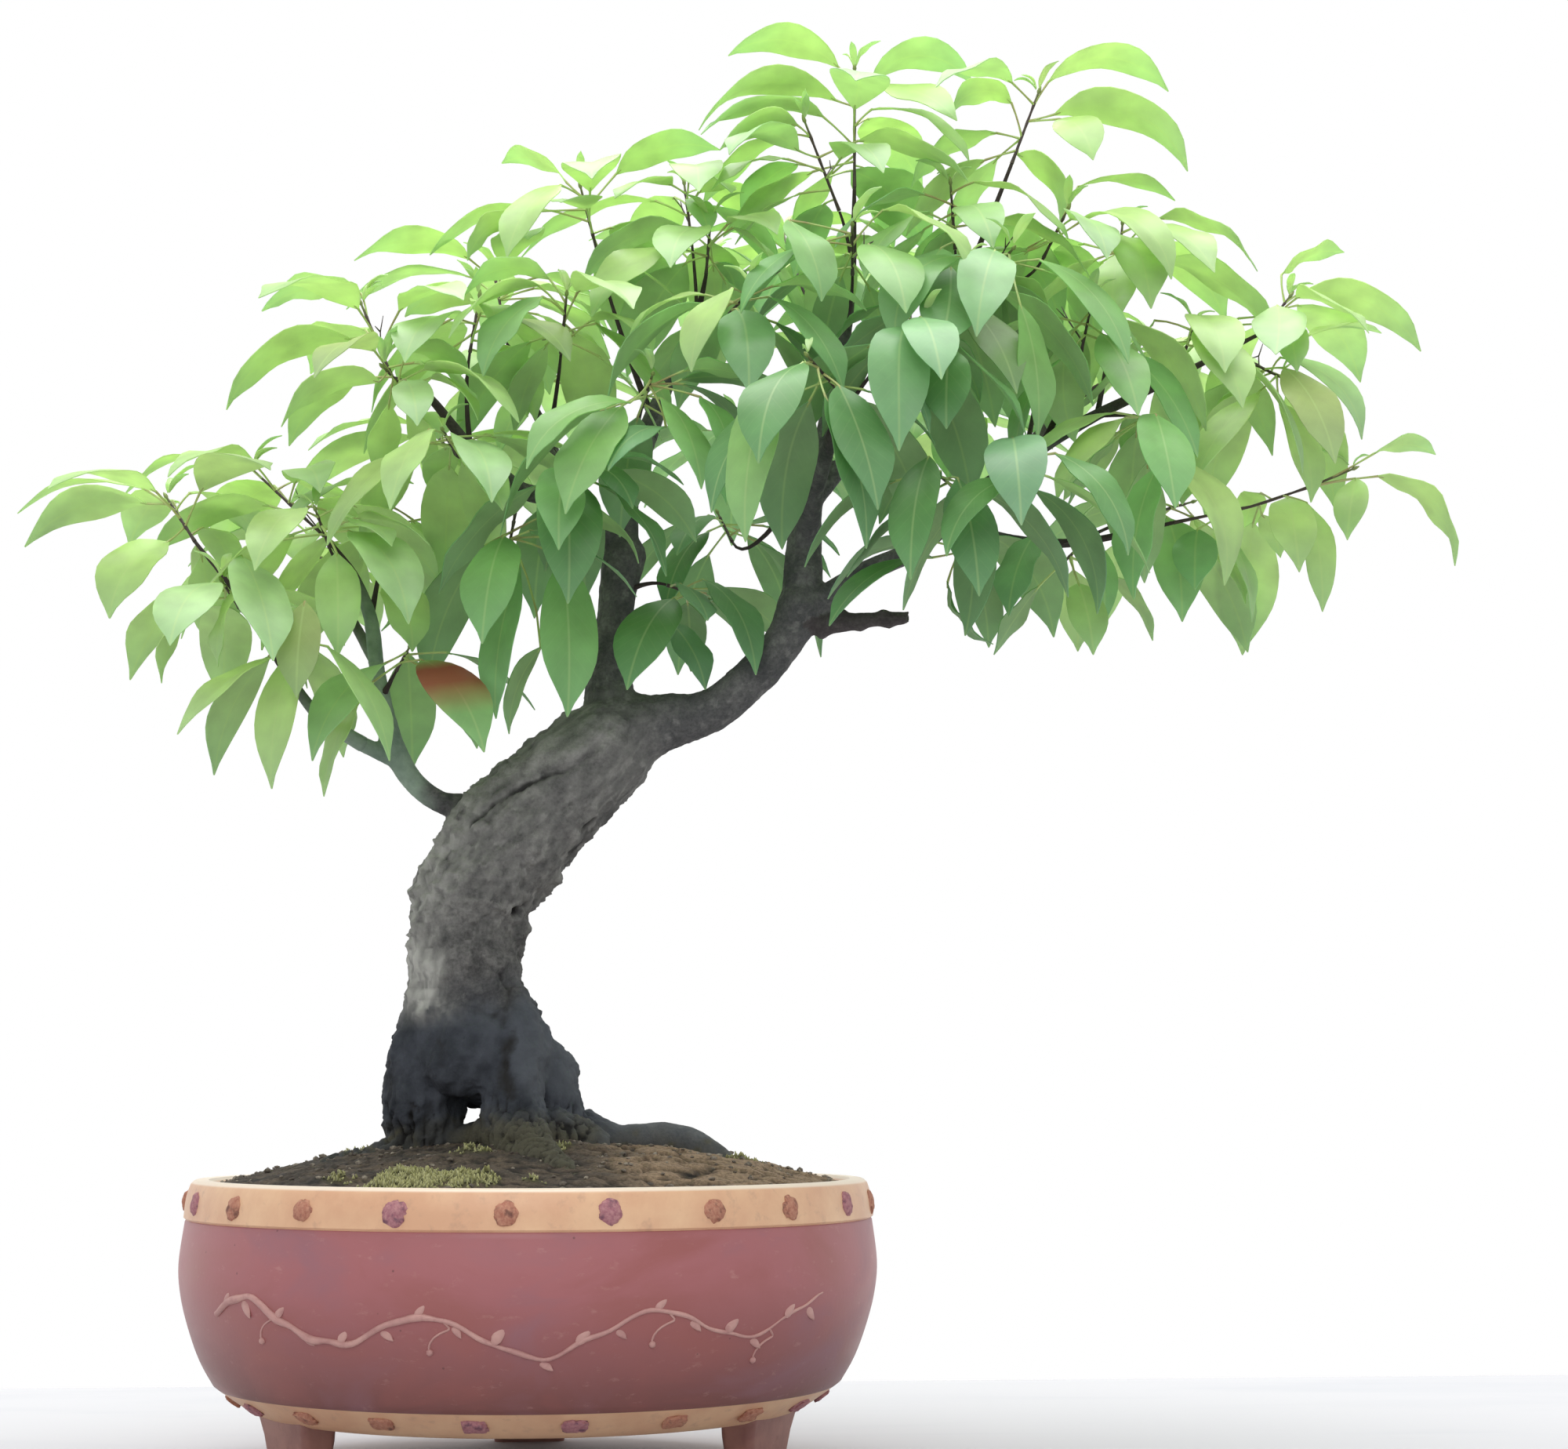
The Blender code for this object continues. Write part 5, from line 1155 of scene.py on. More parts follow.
def groundDetail(x, y):
    # what the fine ground adds to the plain one
    away = math.hypot(x, y)
    fade = smoothStep(soilSizes["edge"], 132, away)
    crumb = noise(Vector((x / 2.6, y / 2.6, 2.0))) + 0.6 * noise(Vector((x / 5.5, y / 5.5, 6.0)))
    height = soilSizes["crumb"] * crumb * (1.0 - 0.35 * crustAt(x, y))
    spot = Vector((x / soilSizes["plate"], y / (0.75 * soilSizes["plate"]), 0.4))
    away2, cells = voronoi(spot + 0.25 * noise_vector(spot * 1.7))
    crack = 1.0 - smoothStep(0.0, 0.13, away2[1] - away2[0])
    tilt = noise(cells[0] * 7.3) + 0.5 * (spot - cells[0]).dot(noise_vector(cells[0] * 3.1))
    crust = crustAt(x, y)
    height += crust * (soilSizes["plateTilt"] * tilt - soilSizes["crack"] * crack)
    height -= (1 - crust) * 0.9 * crack
    moss = mossAt(x, y)
    cushion = 1.0 + 1.3 * noise(Vector((x / 6, y / 6, 4.0))) + 0.7 * noise(Vector((x / 2, y / 2, 8.0)))
    return fade * (height * (1 - 0.6 * moss) + 1.7 * moss * cushion), crack, crust, moss


def groundMaterial(colours):
    # damp peat and dried loam: dull, dark where wet, pale and plated where dry, green under the moss
    material, tree, shader = newMaterial("packedLoam", {"Roughness": 0.95})
    crack, dryness, moss = readMarks(tree, "groundMarks")
    place = addNode(tree, "TexCoord").outputs["Object"]
    grain = addNode(tree, "TexNoise", {"Scale": perMm(1.6), "Detail": 6.0, "Roughness": 0.7, "Vector": place})
    patch = addNode(tree, "TexNoise", {"Scale": perMm(18), "Detail": 4.0, "Vector": place})
    peat = addNode(tree, "ValToRGB",
                   {"stops": ((0.35, colours["peat"][0]), (0.7, colours["peat"][1])), 0: grain})
    crust = addNode(tree, "ValToRGB",
                    {"stops": ((0.3, colours["crust"][0]), (0.68, colours["crust"][1])), 0: grain})
    dry = addNode(tree, "Math", {"operation": "MULTIPLY_ADD", 2: -0.35, 0: dryness, 1: dryness})
    dry = addNode(tree, "Math", {"operation": "ADD", "use_clamp": True, 0: dry, 1: patch})
    colour = mixColours(tree, dry, peat, crust)
    colour = mixColours(tree, crack, colour, colours["crack"])
    colour = mixColours(tree, moss, colour, colours["mossLow"])
    finishSurface(tree, shader, colour, grain, 0.8, 0.5)
    return material


def makeSoil(sizes, colours):
    ground = bmesh.new()
    marks = ground.verts.layers.float_vector.new("groundMarks")
    count = round(sizes["edge"] / sizes["ringStep"])
    line = [(sizes["edge"] * i / count, 140.0) for i in range(count + 1)] + list(sizes["below"])
    corners = [ground.verts.new((r, 0, z)) for r, z in line]
    corners.append(ground.verts.new((0, 0, sizes["below"][-1][1])))
    edges = [ground.edges.new(pair) for pair in zip(corners, corners[1:])]
    bmesh.ops.spin(ground, geom=corners + edges, cent=(0, 0, 0), axis=(0, 0, 1), angle=math.tau,
                   steps=sizes["turns"], use_merge=True)
    bmesh.ops.remove_doubles(ground, verts=ground.verts[:], dist=0.001)
    for vert in ground.verts:
        if vert.co.z > 139.0:
            x, y = vert.co.x, vert.co.y
            detail, crack, crust, moss = groundDetail(x, y)
            vert.co.z = groundHeight(x, y) + detail
            vert[marks] = (crack, crust, moss)
    bmesh.ops.recalc_face_normals(ground, faces=ground.faces[:])
    return finishPiece("ground", ground, [groundMaterial(colours)], ["soil"], 70)


def groundTop(x, y):
    return groundHeight(x, y) + groundDetail(x, y)[0]


def makeMoss(sizes, colours):
    # cushion moss: thousands of short soft shoots, dull and yellow green at their tips
    material, tree, shader = newMaterial("cushionMoss", {"Roughness": 0.9, "Sheen Weight": 0.25})
    each, height, _spare = readMarks(tree, "mossMarks")
    tone = mixColours(tree, each, *colours["moss"])
    feed(tree, shader, "Base Color", mixColours(tree, height, colours["mossLow"], tone))
    draw = random.Random(31)
    batch, made = [], 0
    moss = bmesh.new()
    moss.verts.layers.float_vector.new("mossMarks")
    while made < sizes["tufts"]:
        patch = draw.choices(mossPatches, weights=[p[2] ** 2 * p[3] for p in mossPatches])[0]
        away, angle = patch[2] * math.sqrt(draw.random()), draw.uniform(0, math.tau)
        x, y = patch[0] + away * math.cos(angle), patch[1] + away * math.sin(angle)
        thick = mossAt(x, y)
        if math.hypot(x, y) > 140 or draw.random() > thick:
            continue
        batch.append((x, y, thick, draw.uniform(*sizes["tuftHigh"]) * (0.6 + 0.6 * thick)))
        made += 1
        if len(batch) == 150 or made == sizes["tufts"]:
            part = bmesh.new()  # small batches, because each operator walks its whole mesh
            layer = part.verts.layers.float_vector.new("mossMarks")
            for x, y, thick, high in batch:
                blade = bmesh.ops.create_cone(part, cap_ends=True, segments=4, radius1=0.75, radius2=0.12,
                                              depth=high)["verts"]
                tone = draw.uniform(0, 1)
                for vert in blade:
                    vert[layer] = (tone, 1.0 if vert.co.z > 0 else 0.25, 0)
                lean = Matrix.Rotation(draw.uniform(0, 0.6), 4, (draw.uniform(-1, 1), draw.uniform(-1, 1), 0))
                place = Matrix.Translation((x, y, groundTop(x, y) + 0.35 * high))
                bmesh.ops.transform(part, matrix=place @ lean, verts=blade)
            mesh = toMesh("mossBatch", part)
            moss.from_mesh(mesh)
            bpy.data.meshes.remove(mesh)
            batch = []
    return finishPiece("moss", moss, [material], [], 80)


def makeGrit(sizes, colours):
    # crushed stone and bark crumbs left on the ground
    material, tree, shader = newMaterial("crushedStone", {"Roughness": 0.8})
    place = addNode(tree, "TexCoord").outputs["Object"]
    each = addNode(tree, "TexNoise", {"Scale": perMm(6), "Detail": 5.0, "Vector": place})
    ramp = addNode(tree, "ValToRGB",
                   {"stops": ((0.3, colours["peat"][1]), (0.5, colours["stone"][0]),
                              (0.72, colours["stone"][1])), 0: each})
    feed(tree, shader, "Base Color", ramp)
    draw = random.Random(32)
    grit = bmesh.new()
    for _n in range(sizes["stones"]):
        away, angle = 140 * math.sqrt(draw.random()), draw.uniform(0, math.tau)
        x, y = away * math.cos(angle), away * math.sin(angle)
        size = sizes["stone"][0] + (sizes["stone"][1] - sizes["stone"][0]) * draw.random() ** 3
        if mossAt(x, y) > 0.3:
            continue
        stone = bmesh.ops.create_icosphere(grit, subdivisions=1, radius=size)["verts"]
        for vert in stone:
            vert.co *= draw.uniform(0.7, 1.15)
        turn = Matrix.Rotation(draw.uniform(0, math.tau), 4, "Z") @ Matrix.Diagonal((1.2, 0.9, 0.65, 1))
        bmesh.ops.transform(grit, matrix=Matrix.Translation((x, y, groundTop(x, y) + 0.2 * size)) @ turn,
                            verts=stone)
    return finishPiece("grit", grit, [material], [], 20)


makeSoil(soilSizes, soilColours)
makeMoss(soilSizes, soilColours)
makeGrit(soilSizes, soilColours)
print("soil made")


# Wood: the trunk, roots and thick limbs as one barky skin, the thin limbs and twigs as finer tubes

barkSizes = {
    "voxel": 1.3, "smoothing": 3,
    "sides": (48, 24, 14),  # of the tubes that are joined: trunk, roots, limbs
    "thin": 3.4,  # a limb goes on as a plain tube where its radius falls below this
    "ridge": (8.0, 4.0, 1.0),  # long ridges: width, how many times longer, height
    "flake": (15.0, 1.6, 2.4, 0.5),  # flakes: width, how many times longer, steps, height of a step
    "crust": (3.6, 1.5),  # warty crust in patches: size, height
    "scab": (3.4, 2.4),  # thicker crust down the trunk's left side
    "swell": (24.0, 1.5),  # broad hollows and swellings
    "ledge": (13.0, 1.5),  # ledges across the trunk where old bark has broken off: spacing, height
    "fibre": (3.6, 2.6), "grain": (2.0, 0.5),  # fibres on the surface roots, and fine grain: size, height
    "blend": 2.6,  # how far a limb's bark runs into the trunk's
    "wetTop": 196.0, "smoothFrom": 300.0,  # damp and dark below the first height, smoother above the second
}
# places that stand out on the trunk, from the front: where, size, height
barkMarks = {
    # raised strips and cracks as a line, half its width and how far it rises
    "lines": (
        (((-27, -14, 303), (-15, -16, 313), (2, -20, 319), (19, -23, 325), (33, -19, 336)), 6.0, 2.2),
        (((-30, -22, 290), (-20, -23, 300), (-9, -25, 307), (2, -25, 312), (13, -26, 315), (25, -25, 323),
          (33, -21, 335)), 1.5, -2.3),
        (((-16, -27, 281), (-6, -27, 284), (4, -26, 292), (16, -24, 300)), 1.3, -1.0),
        (((22, -15, 288), (28, -15, 298), (38, -13, 307)), 1.1, -1.3),
        (((-27, -26, 232), (-23, -24, 225), (-15, -21, 223), (-11, -21, 216), (-13, -28, 202),
          (-14, -33, 188)), 1.6, -1.3),
        (((-11, -33, 191), (-14, -37, 177), (-10, -41, 167)), 3.4, -2.4),
        (((16, -29, 196), (20, -35, 178), (17, -42, 164)), 3.2, -2.0),
        (((-38, -22, 196), (-42, -30, 178), (-45, -36, 164)), 3.6, -1.8),
        (((-8, -18, 252), (6, -9, 258)), 1.6, -1.5),
        (((-10, -19, 239), (-3, -13, 239), (3, -5, 240)), 1.1, -1.8),
    ),
    # burrs and knots: place, radius, height
    "burrs": (
        ((10, -4, 266), 6.5, 5.0), ((17, -3, 273), 5, -2.6), ((5, -6, 253), 5, -3.4),
        ((-1, -5, 243), 7, 6.0), ((-5, -2, 226), 5, 2.2), ((4, 18, 212), 11, -5.0),
        ((-39, -14, 291), 6, 2.6), ((18, -4, 279), 9, -2.6),
        ((-2, -6, 230), 9, -2.4), ((4, 2, 219), 13, -4.6), ((9, 6, 207), 15, -6.0), ((17, 4, 193), 12, -3.4),
        ((132, -19, 382), 4, 2.2), ((141, -22, 390), 4, 1.9), ((149, -26, 382), 4, 2.4),
        ((159, -30, 389), 4, 1.5), ((161, -31, 382), 4.5, 2.6), ((172, -34, 387), 5, -1.9),
        ((172, -35, 390), 2.8, 2.6), ((172, -36, 384), 2.4, -1.8), ((173, -34, 386.5), 2.2, 1.8),
        ((-44, -12, 282), 6, 2.2), ((-27, 2, 311), 7, 2.6), ((-17, 4, 319), 6, 2.4), ((-58, -4, 236), 6, 1.8),
        ((-57, -8, 214), 7, 2.0), ((-52, 6, 198), 9, 3.0), ((-60, -2, 176), 8, 2.4), ((-6, 24, 262), 9, 3.4),
        ((10, 25, 290), 8, 2.8), ((-30, 24, 240), 9, 3.0),
    ),
    # healed scars: place, radius of the ring, height of its lip
    "scars": (((-37, -25, 263), 4.4, 1.7), ((-31, -26, 253), 3.0, 1.4), ((-9, -18, 251), 4.0, 1.8),
              ((-30, -26, 240), 2.6, 1.2), ((-1, -26, 276), 3.4, 1.0), ((-20, 25, 270), 5.0, 1.8)),
}
barkColours = {
    "crevice": "#262524", "plate": ("#474747", "#696866"), "worn": "#807F7C",
    "wet": ("#2E3238", "#484C54"), "flankHighlightColour": "#5F646B",  # the damp foot of the trunk, and a painted highlight on its flanks that face right
    "lichenAndHighlight": "#B4B4AE", "green": ("#74897A", "#9BAF9D"), "twig": ("#2E2729", "#4B3F3E"),
    "mossy": ("#37362D", "#716D55"),
}


def barkMaterial(colours):
    # old camphor bark: dry flaky cork, matt grey, dark in its cracks, with pale lichen that also carries a
    # painted highlight on the left, and a damp dark foot with a painted highlight on the flanks that face
    # right
    material, tree, shader = newMaterial("camphorBark", {"Roughness": 0.86, "Specular IOR Level": 0.3})
    relief, lichenAndHighlight, green = readMarks(tree, "barkRelief")
    wet, twig, mossy = readMarks(tree, "barkPlace")
    streak, scaly, flankHighlight = readMarks(tree, "barkTone")
    place = addNode(tree, "TexCoord").outputs["Object"]
    fine = addNode(tree, "TexNoise", {"Scale": perMm(1.5), "Detail": 6.0, "Roughness": 0.7, "Vector": place})
    broad = addNode(tree, "TexNoise", {"Scale": perMm(16), "Detail": 5.0, "Roughness": 0.6, "Vector": place})
    even = addNode(tree, "MapRange", {1: 0.35, 2: 0.65, 0: broad})
    plate = mixColours(tree, even, *colours["plate"])
    colour = layOver(tree, plate, colours["worn"], streak, 0.15, 0.6, 0.6)
    colour = layOver(tree, colour, colours["plate"][0], scaly, 0.1, 0.6, 0.6)
    colour = layOver(tree, colour, colours["worn"], relief, 0.5, 1.7, 0.5)
    speck = addNode(tree, "MapRange", {1: 0.36, 2: 0.64, 3: 0.7, 4: 1.25, 0: fine})
    colour = mixColours(tree, 1.0, colour, speck, "MULTIPLY")
    # painted highlight on the damp foot, where its flanks face right
    damp = mixColours(tree, flankHighlight, mixColours(tree, even, *colours["wet"]), colours["flankHighlightColour"])
    colour = mixColours(tree, wet, colour, damp)
    colour = mixColours(tree, green, colour, mixColours(tree, even, *colours["green"]))
    colour = mixColours(tree, twig, colour, mixColours(tree, fine, *colours["twig"]))
    # pale lichen patches, partly real lichen and partly a painted highlight on the left-facing flanks
    ragged = addNode(tree, "MapRange", {1: -0.8, 2: 0.4, 4: 1.2, 0: streak})
    patches = addNode(tree, "Math", {"operation": "MULTIPLY", "use_clamp": True, 0: lichenAndHighlight, 1: ragged})
    colour = mixColours(tree, patches, colour, colours["lichenAndHighlight"])
    colour = mixColours(tree, mossy, colour, mixColours(tree, fine, *colours["mossy"]))
    colour = layOver(tree, colour, colours["crevice"], relief, -0.6, -2.0, 0.9)
    finishSurface(tree, shader, colour, fine, 0.6, 0.8)
    return material


def nearLine(spot, line):
    # distance from a place to a line of points
    best = 1e9
    for a, b in zip(line, line[1:]):
        a, b = Vector(a), Vector(b)
        share = min(1.0, max(0.0, (spot - a).dot(b - a) / (b - a).length_squared))
        best = min(best, (spot - a.lerp(b, share)).length)
    return best


def trunkMarks(spot):
    # what the trunk's own strips, cracks, burrs and scars add at this place
    rise = 0.0
    for line, half, height in barkMarks["lines"]:
        if abs(spot.z - line[0][2]) < 60:
            away = nearLine(spot, line) / half
            if away < 3:
                rise += height * math.exp(-away * away)
    for place, radius, height in barkMarks["burrs"]:
        away = (spot - Vector(place)).length / radius
        if away < 2:
            rise += height * math.exp(-2.2 * away * away) * (1 + 0.5 * noise(spot / 2.5))
    for place, radius, height in barkMarks["scars"]:
        away = (spot - Vector(place)).length
        if away < 3 * radius:
            rise += height * math.exp(-((away - radius) / (0.35 * radius)) ** 2)
            rise -= 1.1 * height * math.exp(-(away / (0.6 * radius)) ** 2)
    return rise


def stairs(value, steps):
    # a slope cut into treads with short rounded risers
    scaled = value * steps
    whole = math.floor(scaled)
    return (whole + smoothStep(0.72, 1.0, scaled - whole)) / steps


def barkRise(spot, way, radius, kind):
    # how far the bark stands above the plain tube: broad lumps, and the detail on them
    rough = smoothStep(3.0, 20.0, radius)
    calm = 1.0 - 0.5 * smoothStep(barkSizes["smoothFrom"] - 25, barkSizes["smoothFrom"] + 25, spot.z)
    lumps = (growth["trunkLumps"], growth["rootLumps"], growth["limbLumps"])[kind]
    rise = radius * lumps * lumpAt(spot)
    along = spot.dot(way)

    def drawn(size, longer, shift):
        return (spot - way * along * (1 - 1 / longer)) / size + Vector((shift, 2.3 * shift, 1.7 * shift))

    size, longer, height = barkSizes["ridge"]
    damp = 1.0 - smoothStep(barkSizes["wetTop"], barkSizes["wetTop"] + 36, spot.z)
    ridge = 1.0 - 2.2 * abs(noise(drawn(size, longer, 1.0)))
    detail = height * (ridge - 0.6) * (0.75 + 0.5 * damp) * (0.1 + 0.9 * rough)
    size, height = barkSizes["swell"]
    detail += height * noise(spot / size + Vector((6, 2, 5))) * rough
    size, longer, steps, height = barkSizes["flake"]
    bent = drawn(size, longer, 5.0) + 0.35 * noise_vector(spot / 9)
    flakes = noise(bent) + 0.4 * noise(2.6 * bent)
    patch = smoothStep(-0.25, 0.35, noise(spot / 24 + Vector((4, 4, 4))))
    detail += height * steps * stairs(flakes, steps) * rough * patch * (1 - 0.6 * damp) * 0.6
    size, height = barkSizes["crust"]
    warts = max(0.0, noise(spot / size)) + 0.5 * max(0.0, noise(spot / (0.45 * size)))
    where = smoothStep(0.0, 0.35, noise(spot / 17 + Vector((9, 1, 6))) + 0.12)
    edge = smoothStep(20, -10, spot.x - 0.9 * (spot.z - 310))  # the trunk's upper left side
    where = max(where, 0.8 * edge * smoothStep(270, 300, spot.z))
    detail += height * warts * where * rough * (1 - 0.5 * damp)
    size, height = barkSizes["ledge"]
    broken = (along + 9 * noise(spot / 12)) / size
    ledge = (broken - math.floor(broken)) * smoothStep(-0.05, 0.4, noise(spot / 10 + Vector((3, 8, 2))))
    detail += height * ledge * rough * (1 - 0.7 * damp)
    if kind == 1:  # fibres that run down the surface roots' flanks
        size, height = barkSizes["fibre"]
        fibre = noise(Vector((spot.x / size, spot.y / size, spot.z / (6 * size))))
        groove = 1.0 - smoothStep(0.0, 0.16, abs(fibre))
        low = smoothStep(172, 156, spot.z)
        detail += height * (0.8 * abs(fibre) - groove) * low * smoothStep(38, 20, spot.x)
        calm *= 1 - 0.5 * smoothStep(24, 44, spot.x)  # the root that runs out to the right is worn smooth
    size, height = barkSizes["grain"]
    detail += height * (noise(spot / size) + 0.5 * noise(spot / 1.2)) * (0.3 + 0.7 * rough)
    return rise, detail * calm


def splitLimb(path):
    # the thick stretch of a limb, and the thin one that goes on from inside its end
    for i, place in enumerate(path):
        if place[3] < barkSizes["thin"]:
            return path[:i + 1], path[max(i - 1, 0):]
    return path, ()


def nearWays(lines):
    # for each kind of wood, a tree that finds the direction and radius of the stretch nearest to a place
    trees = []
    for kind in range(3):
        rows = []
        for line, itsKind, name in lines:
            for i, place in enumerate(line):
                before, after = line[max(i - 1, 0)], line[min(i + 1, len(line) - 1)]
                way = (Vector(after[:3]) - Vector(before[:3])).normalized()
                if itsKind == kind:
                    rows.append((Vector(place[:3]), way, place[3], name))
        tree = kdtree.KDTree(len(rows))
        for i, row in enumerate(rows):
            tree.insert(row[0], i)
        tree.balance()
        if rows:
            trees.append((kind, tree, rows))
    return trees


def ownWood(spot, trees):
    # which wood a place on the skin belongs to, as (share, kind, direction, radius, name)
    found = []
    for kind, tree, rows in trees:
        near = min(tree.find_n(spot, 5), key=lambda hit: hit[2] - rows[hit[1]][2])
        _place, way, radius, name = rows[near[1]]
        found.append((near[2] - radius, kind, way, radius, name))
    best = min(row[0] for row in found)
    shares = [math.exp(-((row[0] - best) / barkSizes["blend"]) ** 2) for row in found]
    return [(share / sum(shares), *row[1:]) for share, row in zip(shares, found) if share > 0.03]


def paintBark(shape, trees):
    # moves a joined skin's points out by the bark's height and notes what kind of bark each has
    relief = shape.verts.layers.float_vector.new("barkRelief")
    place = shape.verts.layers.float_vector.new("barkPlace")
    tone = shape.verts.layers.float_vector.new("barkTone")
    shape.normal_update()
    wetTop = barkSizes["wetTop"]
    moved = []
    for vert in shape.verts:
        spot = vert.co.copy()
        rise = detail = lichenAndHighlight = green = wet = twig = streak = 0.0
        # flanks that face left: pale lichen, which also stands for a painted highlight on that side
        left = smoothStep(0.1, 0.9, -vert.normal.x + 0.25 * noise(spot / 12))
        # the damp line sits lower where a flank faces right: part of the painted highlight there
        level = spot.z + 7 * noise(spot / 11) - 8 * max(0.0, vert.normal.x)
        damp = 1.0 - smoothStep(wetTop, wetTop + 26, level)
        for share, kind, way, radius, name in ownWood(spot, trees):
            lumps, marks = barkRise(spot, way, radius, kind)
            rise += share * lumps
            detail += share * marks
            if kind == 0:
                low = 1 - 0.6 * smoothStep(226, 246, spot.z)
                patch = left * low * smoothStep(wetTop, wetTop + 16,
                                                spot.z) * (1 - smoothStep(280, 320, spot.z))
                lichenAndHighlight += share * (patch + 0.22 * smoothStep(230, 260, spot.z))
                size, height = barkSizes["scab"]
                scab = max(0.0, noise(spot / size + Vector((1, 5, 3))) + 0.1)
                side = smoothStep(0.35, 0.9, -vert.normal.x)
                detail += share * height * scab * side * smoothStep(215, 240, spot.z)
            if name in ("C", "C1", "Cb"):
                green += 0.9 * share * smoothStep(-44, -58, spot.x + 5 * noise(spot / 8))
            drawn = spot - 0.72 * way * spot.dot(way)
            streak += share * (noise(drawn / 4.5) + 0.5 * noise(drawn / 1.9))
            wet += share * max(damp * (1 - 0.45 * smoothStep(20, 60, spot.x) * (kind == 1)),
                               (0.0, 0.0, 0.12)[kind])
            twig += share * (0.6 if name == "B3" else smoothStep(3.4, 1.9, radius))
        if spot.z > 150:
            detail += trunkMarks(spot)
        ground = groundHeight(spot.x, spot.y) if math.hypot(spot.x, spot.y) < 143 else 0
        front = smoothStep(30, -20, spot.x) * (spot.y < 0)
        moss = smoothStep(9, 1, spot.z - ground - 5 * noise(spot / 7) - 7 * front)
        moss *= 0.35 + 0.65 * smoothStep(-0.1, 0.4, noise(spot / 5 + Vector((2, 7, 1))) - 0.1)
        # old fibrous bark on the mound in front of the legs
        mound = smoothStep(163, 151, spot.z + 5 * noise(spot / 6)) * smoothStep(-6, -20, spot.y)
        moss = max(moss, mound * smoothStep(40, 20, spot.x) * smoothStep(-46, -34, spot.x))
        vert[relief] = (detail, min(1.0, lichenAndHighlight), green)
        vert[place] = (wet, twig, 0.8 * moss)
        # painted highlight: paler on flanks that face right, and on the root that runs out to the right
        flankHighlight = smoothStep(-0.1, 0.9, 0.8 * vert.normal.x + 0.55 * noise(spot / 13) + 0.1)
        flankHighlight = max(0.7 * flankHighlight, 0.9 * smoothStep(24, 48, spot.x))
        vert[tone] = (streak, noise(spot / 9) + 0.6 * noise(spot / 3.4), flankHighlight)
        moved.append(vert.normal * (rise + detail))
    for vert, move in zip(shape.verts, moved):
        vert.co += move


def makeTrunk(sizes, material):
    skin = bmesh.new()
    lines = [(smoothLine(trunkLine, 5), 0, "trunk")]
    lines += [(smoothLine(path, 5), 1, name) for name, path in rootLines.items()]
    for name, path in limbLines.items():
        thick = splitLimb(path)[0]
        if len(thick) > 1:
            lines.append((smoothLine(thick, 4), 2, name))
    for line, kind, _name in lines:
        sweepTube(skin, line, sizes["sides"][kind])
    bmesh.ops.recalc_face_normals(skin, faces=skin.faces[:])
    joined = addObject("joined", toMesh("joined", skin))
    remesh = joined.modifiers.new("join", "REMESH")
    remesh.mode = "VOXEL"
    remesh.voxel_size = sizes["voxel"]
    soften = joined.modifiers.new("soften", "SMOOTH")
    soften.factor = 0.5
    soften.iterations = sizes["smoothing"]
    whole = bpy.data.meshes.new_from_object(joined.evaluated_get(bpy.context.evaluated_depsgraph_get()))
    bpy.data.objects.remove(joined)
    skin = bmesh.new()
    skin.from_mesh(whole)
    bpy.data.meshes.remove(whole)
    paintBark(skin, nearWays(lines))
    return finishPiece("trunk", skin, [material], ["wood"], 180)


def makeLimbs(material):
    limbs = bmesh.new()
    ways = shootWays()
    lines = []
    for name, path in limbLines.items():
        thin = splitLimb(path)[1]
        if len(thin) > 1 and name != "B3":  # the cut stub is all in the trunk's skin
            lines.append((smoothLine(thin, 3), 2, name, ways.get(name), 10))
    for limb, number, end, shoot, _count, _leaves in sprayRows:
        if end is not None:
            way = Vector(shoot) - Vector(end)
            line = twigPath(limb, number, end, way, [k / 9 for k in range(10)])
            line = [Vector((*p[:3], p[3] * (1 - 0.02 * k))) for k, p in enumerate(line)]
            lines.append((line, 3, limb, way, 7))
    for line, _kind, _name, way, sides in lines:
        for place in line:
            place[3] *= 0.58 + 0.42 * smoothStep(1.2, 3.4, place[3])
        sweepTube(limbs, line, sides, way)
    bmesh.ops.recalc_face_normals(limbs, faces=limbs.faces[:])
    paintBark(limbs, nearWays([(line, 2, name) for line, _kind, name, _way, _sides in lines]))
    return finishPiece("limbs", limbs, [material], ["wood"], 180)


bark = barkMaterial(barkColours)
makeTrunk(barkSizes, bark)
makeLimbs(bark)
print("wood made")


# Leaves: each spray has its green shoot, stalks, folded blades with a drip tip, a bud and unfolding leaves

